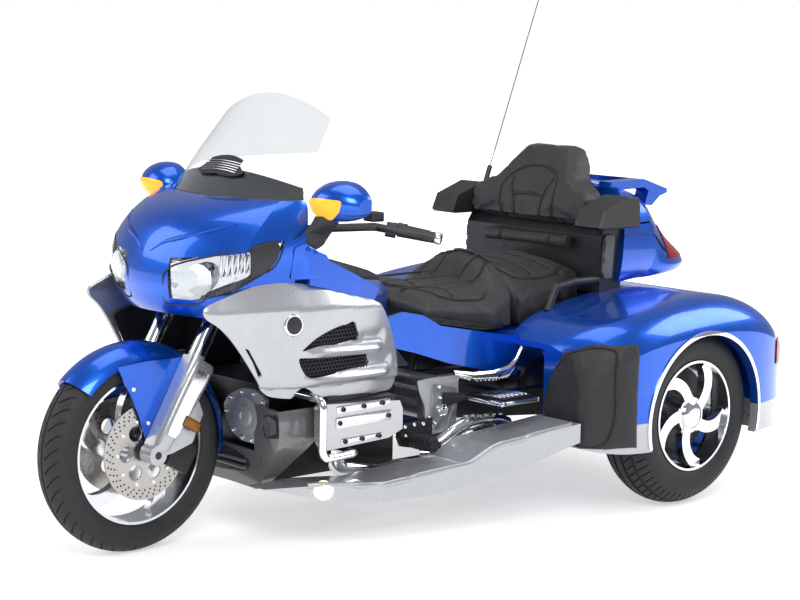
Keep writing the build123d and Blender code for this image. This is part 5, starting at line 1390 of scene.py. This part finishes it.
# Inner trim behind the screen and the joint over the side bands
trim_rings = []
for x, inner_y, outer_y, low, high in (
    (0.345, 0.200, 0.352, 0.895, 0.942), (0.42, 0.190, 0.352, 0.880, 0.930),
    (0.52, 0.170, 0.345, 0.865, 0.908), (0.62, 0.150, 0.322, 0.850, 0.884),
    (0.72, 0.130, 0.290, 0.835, 0.858), (0.78, 0.120, 0.260, 0.828, 0.838),
):
    corners = [(inner_y, low), (outer_y, low - 0.02), (outer_y - 0.01, high - 0.012), (inner_y + 0.02, high)]
    trim_rings.append([at(x, y, z) for y, z in rounded(corners, 0.014, 3)])
inner_trim = Shape().skin(trim_rings)
inner_trim.both_sides().piece("inner_trim", "black_plastic", "chassis", smooth=50)
flanks = tree_for("upper_fairing", "side_covers")
joint = draped(rounded([(0.335, 0.850), (0.335, 0.950), (0.372, 0.962), (0.440, 0.932), (0.455, 0.850)],
                       0.012), from_left, rightward, flanks, 0.0025, 0.008)
joint.both_sides().piece("side_band_joints", "blue_paint", "chassis", wall=0.002)

# Rear wheels: caps, brake discs and nuts
for side_name, side in (("left", 1), ("right", -1)):
    out_y = max(abs(corner[1]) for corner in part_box(f"rear_{side_name}_rim"))
    hub = Shape().turned([(0.046, -0.016), (0.046, -0.004), (0.040, 0.001), (0.026, 0.004), (0.008, 0.005)],
                         Vector((rear_axle_x, side * (out_y - 0.006), rear_axle_z)), leftward * side, 40)
    hub.piece(f"rear_{side_name}_wheel_cap", "chrome_casting", f"rear_{side_name}_wheel", smooth=40)
    disc_edge = [(0.060, -0.004), (0.160, -0.004), (0.160, 0.004), (0.060, 0.004), (0.060, -0.004)]
    middle = Vector((rear_axle_x, side * rear_wheel_y, rear_axle_z))
    disc = Shape().turned(disc_edge, middle, leftward * side, 48, caps=False)
    disc.piece(f"rear_{side_name}_brake_disc", "dark_steel", f"rear_{side_name}_wheel", smooth=30)
    nuts = []
    for k in range(5):
        a = 2 * pi * k / 5 + 0.3
        nuts.append((Vector((rear_axle_x + 0.062 * cos(a), side * (out_y - 0.026),
                             rear_axle_z + 0.062 * sin(a))), leftward * side, upward))
    repeated(f"rear_{side_name}_wheel_nuts", nuts, bolt, "chrome", f"rear_{side_name}_wheel", 0.020)


# Studio
def build_studio():
    scene = bpy.context.scene
    scene.view_settings.view_transform = "Standard"
    size = 14.0
    mesh = bpy.data.meshes.new("studio_floor")
    mesh.from_pydata(
        [(-size, -size, 0), (size, -size, 0), (size, size, 0), (-size, size, 0)], [], [(0, 1, 2, 3)]
    )
    floor = bpy.data.objects.new("studio_floor", mesh)
    scene.collection.objects.link(floor)
    finish = Finish("studio_floor")
    finish.set(Roughness=0.8, Specular_IOR_Level=0.1, Emission_Color=(1.0, 1.0, 1.0, 1.0))
    finish.tinted(finish.noise(3.0), (0.76, 0.76, 0.76), (0.80, 0.80, 0.80))
    reach = finish.node("ShaderNodeVectorMath")
    reach.operation = "LENGTH"
    finish.join(finish.place, reach.inputs[0])
    white = finish.ranged(reach.outputs["Value"], 0.55, 1.2, 1.6, 3.6)
    rays = finish.node("ShaderNodeLightPath")
    seen = rays.outputs["Is Camera Ray"]
    for kind in ("Is Glossy Ray", "Is Transmission Ray"):
        wider = finish.node("ShaderNodeMath")
        wider.operation = "MAXIMUM"
        finish.join(seen, wider.inputs[0])
        finish.join(rays.outputs[kind], wider.inputs[1])
        seen = wider.outputs["Value"]
    shown = finish.node("ShaderNodeMath")
    shown.operation = "MULTIPLY"
    finish.join(seen, shown.inputs[0])
    finish.join(white, shown.inputs[1])
    finish.join(shown.outputs["Value"], finish.shader.inputs["Emission Strength"])
    mesh.materials.append(finish.material)

    world = bpy.data.worlds.new("studio")
    scene.world = world
    world.use_nodes = True
    tree = world.node_tree
    background = tree.nodes["Background"]
    background.inputs["Color"].default_value = (0.80, 0.83, 0.88, 1.0)
    background.inputs["Strength"].default_value = 0.42
    white = tree.nodes.new("ShaderNodeBackground")
    white.inputs["Color"].default_value = (1.0, 1.0, 1.0, 1.0)
    path = tree.nodes.new("ShaderNodeLightPath")
    mix = tree.nodes.new("ShaderNodeMixShader")
    either = tree.nodes.new("ShaderNodeMath")
    either.operation = "MAXIMUM"
    tree.links.new(path.outputs["Is Camera Ray"], either.inputs[0])
    tree.links.new(path.outputs["Is Transmission Ray"], either.inputs[1])
    tree.links.new(either.outputs["Value"], mix.inputs["Fac"])
    tree.links.new(background.outputs["Background"], mix.inputs[1])
    tree.links.new(white.outputs["Background"], mix.inputs[2])
    tree.links.new(mix.outputs["Shader"], tree.nodes["World Output"].inputs["Surface"])

    for name, place, power, width in (
        ("key_light", (3.2, 4.2, 4.2), 210.0, 2.6),
        ("fill_light", (4.0, -2.6, 2.8), 80.0, 3.0),
        ("rear_light", (-4.2, 2.4, 3.4), 110.0, 2.6),
        ("top_light", (0.0, 0.0, 5.0), 80.0, 3.4),
    ):
        data = bpy.data.lights.new(name, "AREA")
        data.energy = power
        data.size = width
        light = bpy.data.objects.new(name, data)
        light.location = place
        aim = Vector((0.0, 0.0, 0.5)) - Vector(place)
        light.rotation_mode = "QUATERNION"
        light.rotation_quaternion = aim.to_track_quat("-Z", "Y")
        scene.collection.objects.link(light)


build_studio()

for model in (bolt, cell, stitch, dot):
    bpy.data.objects.remove(model)
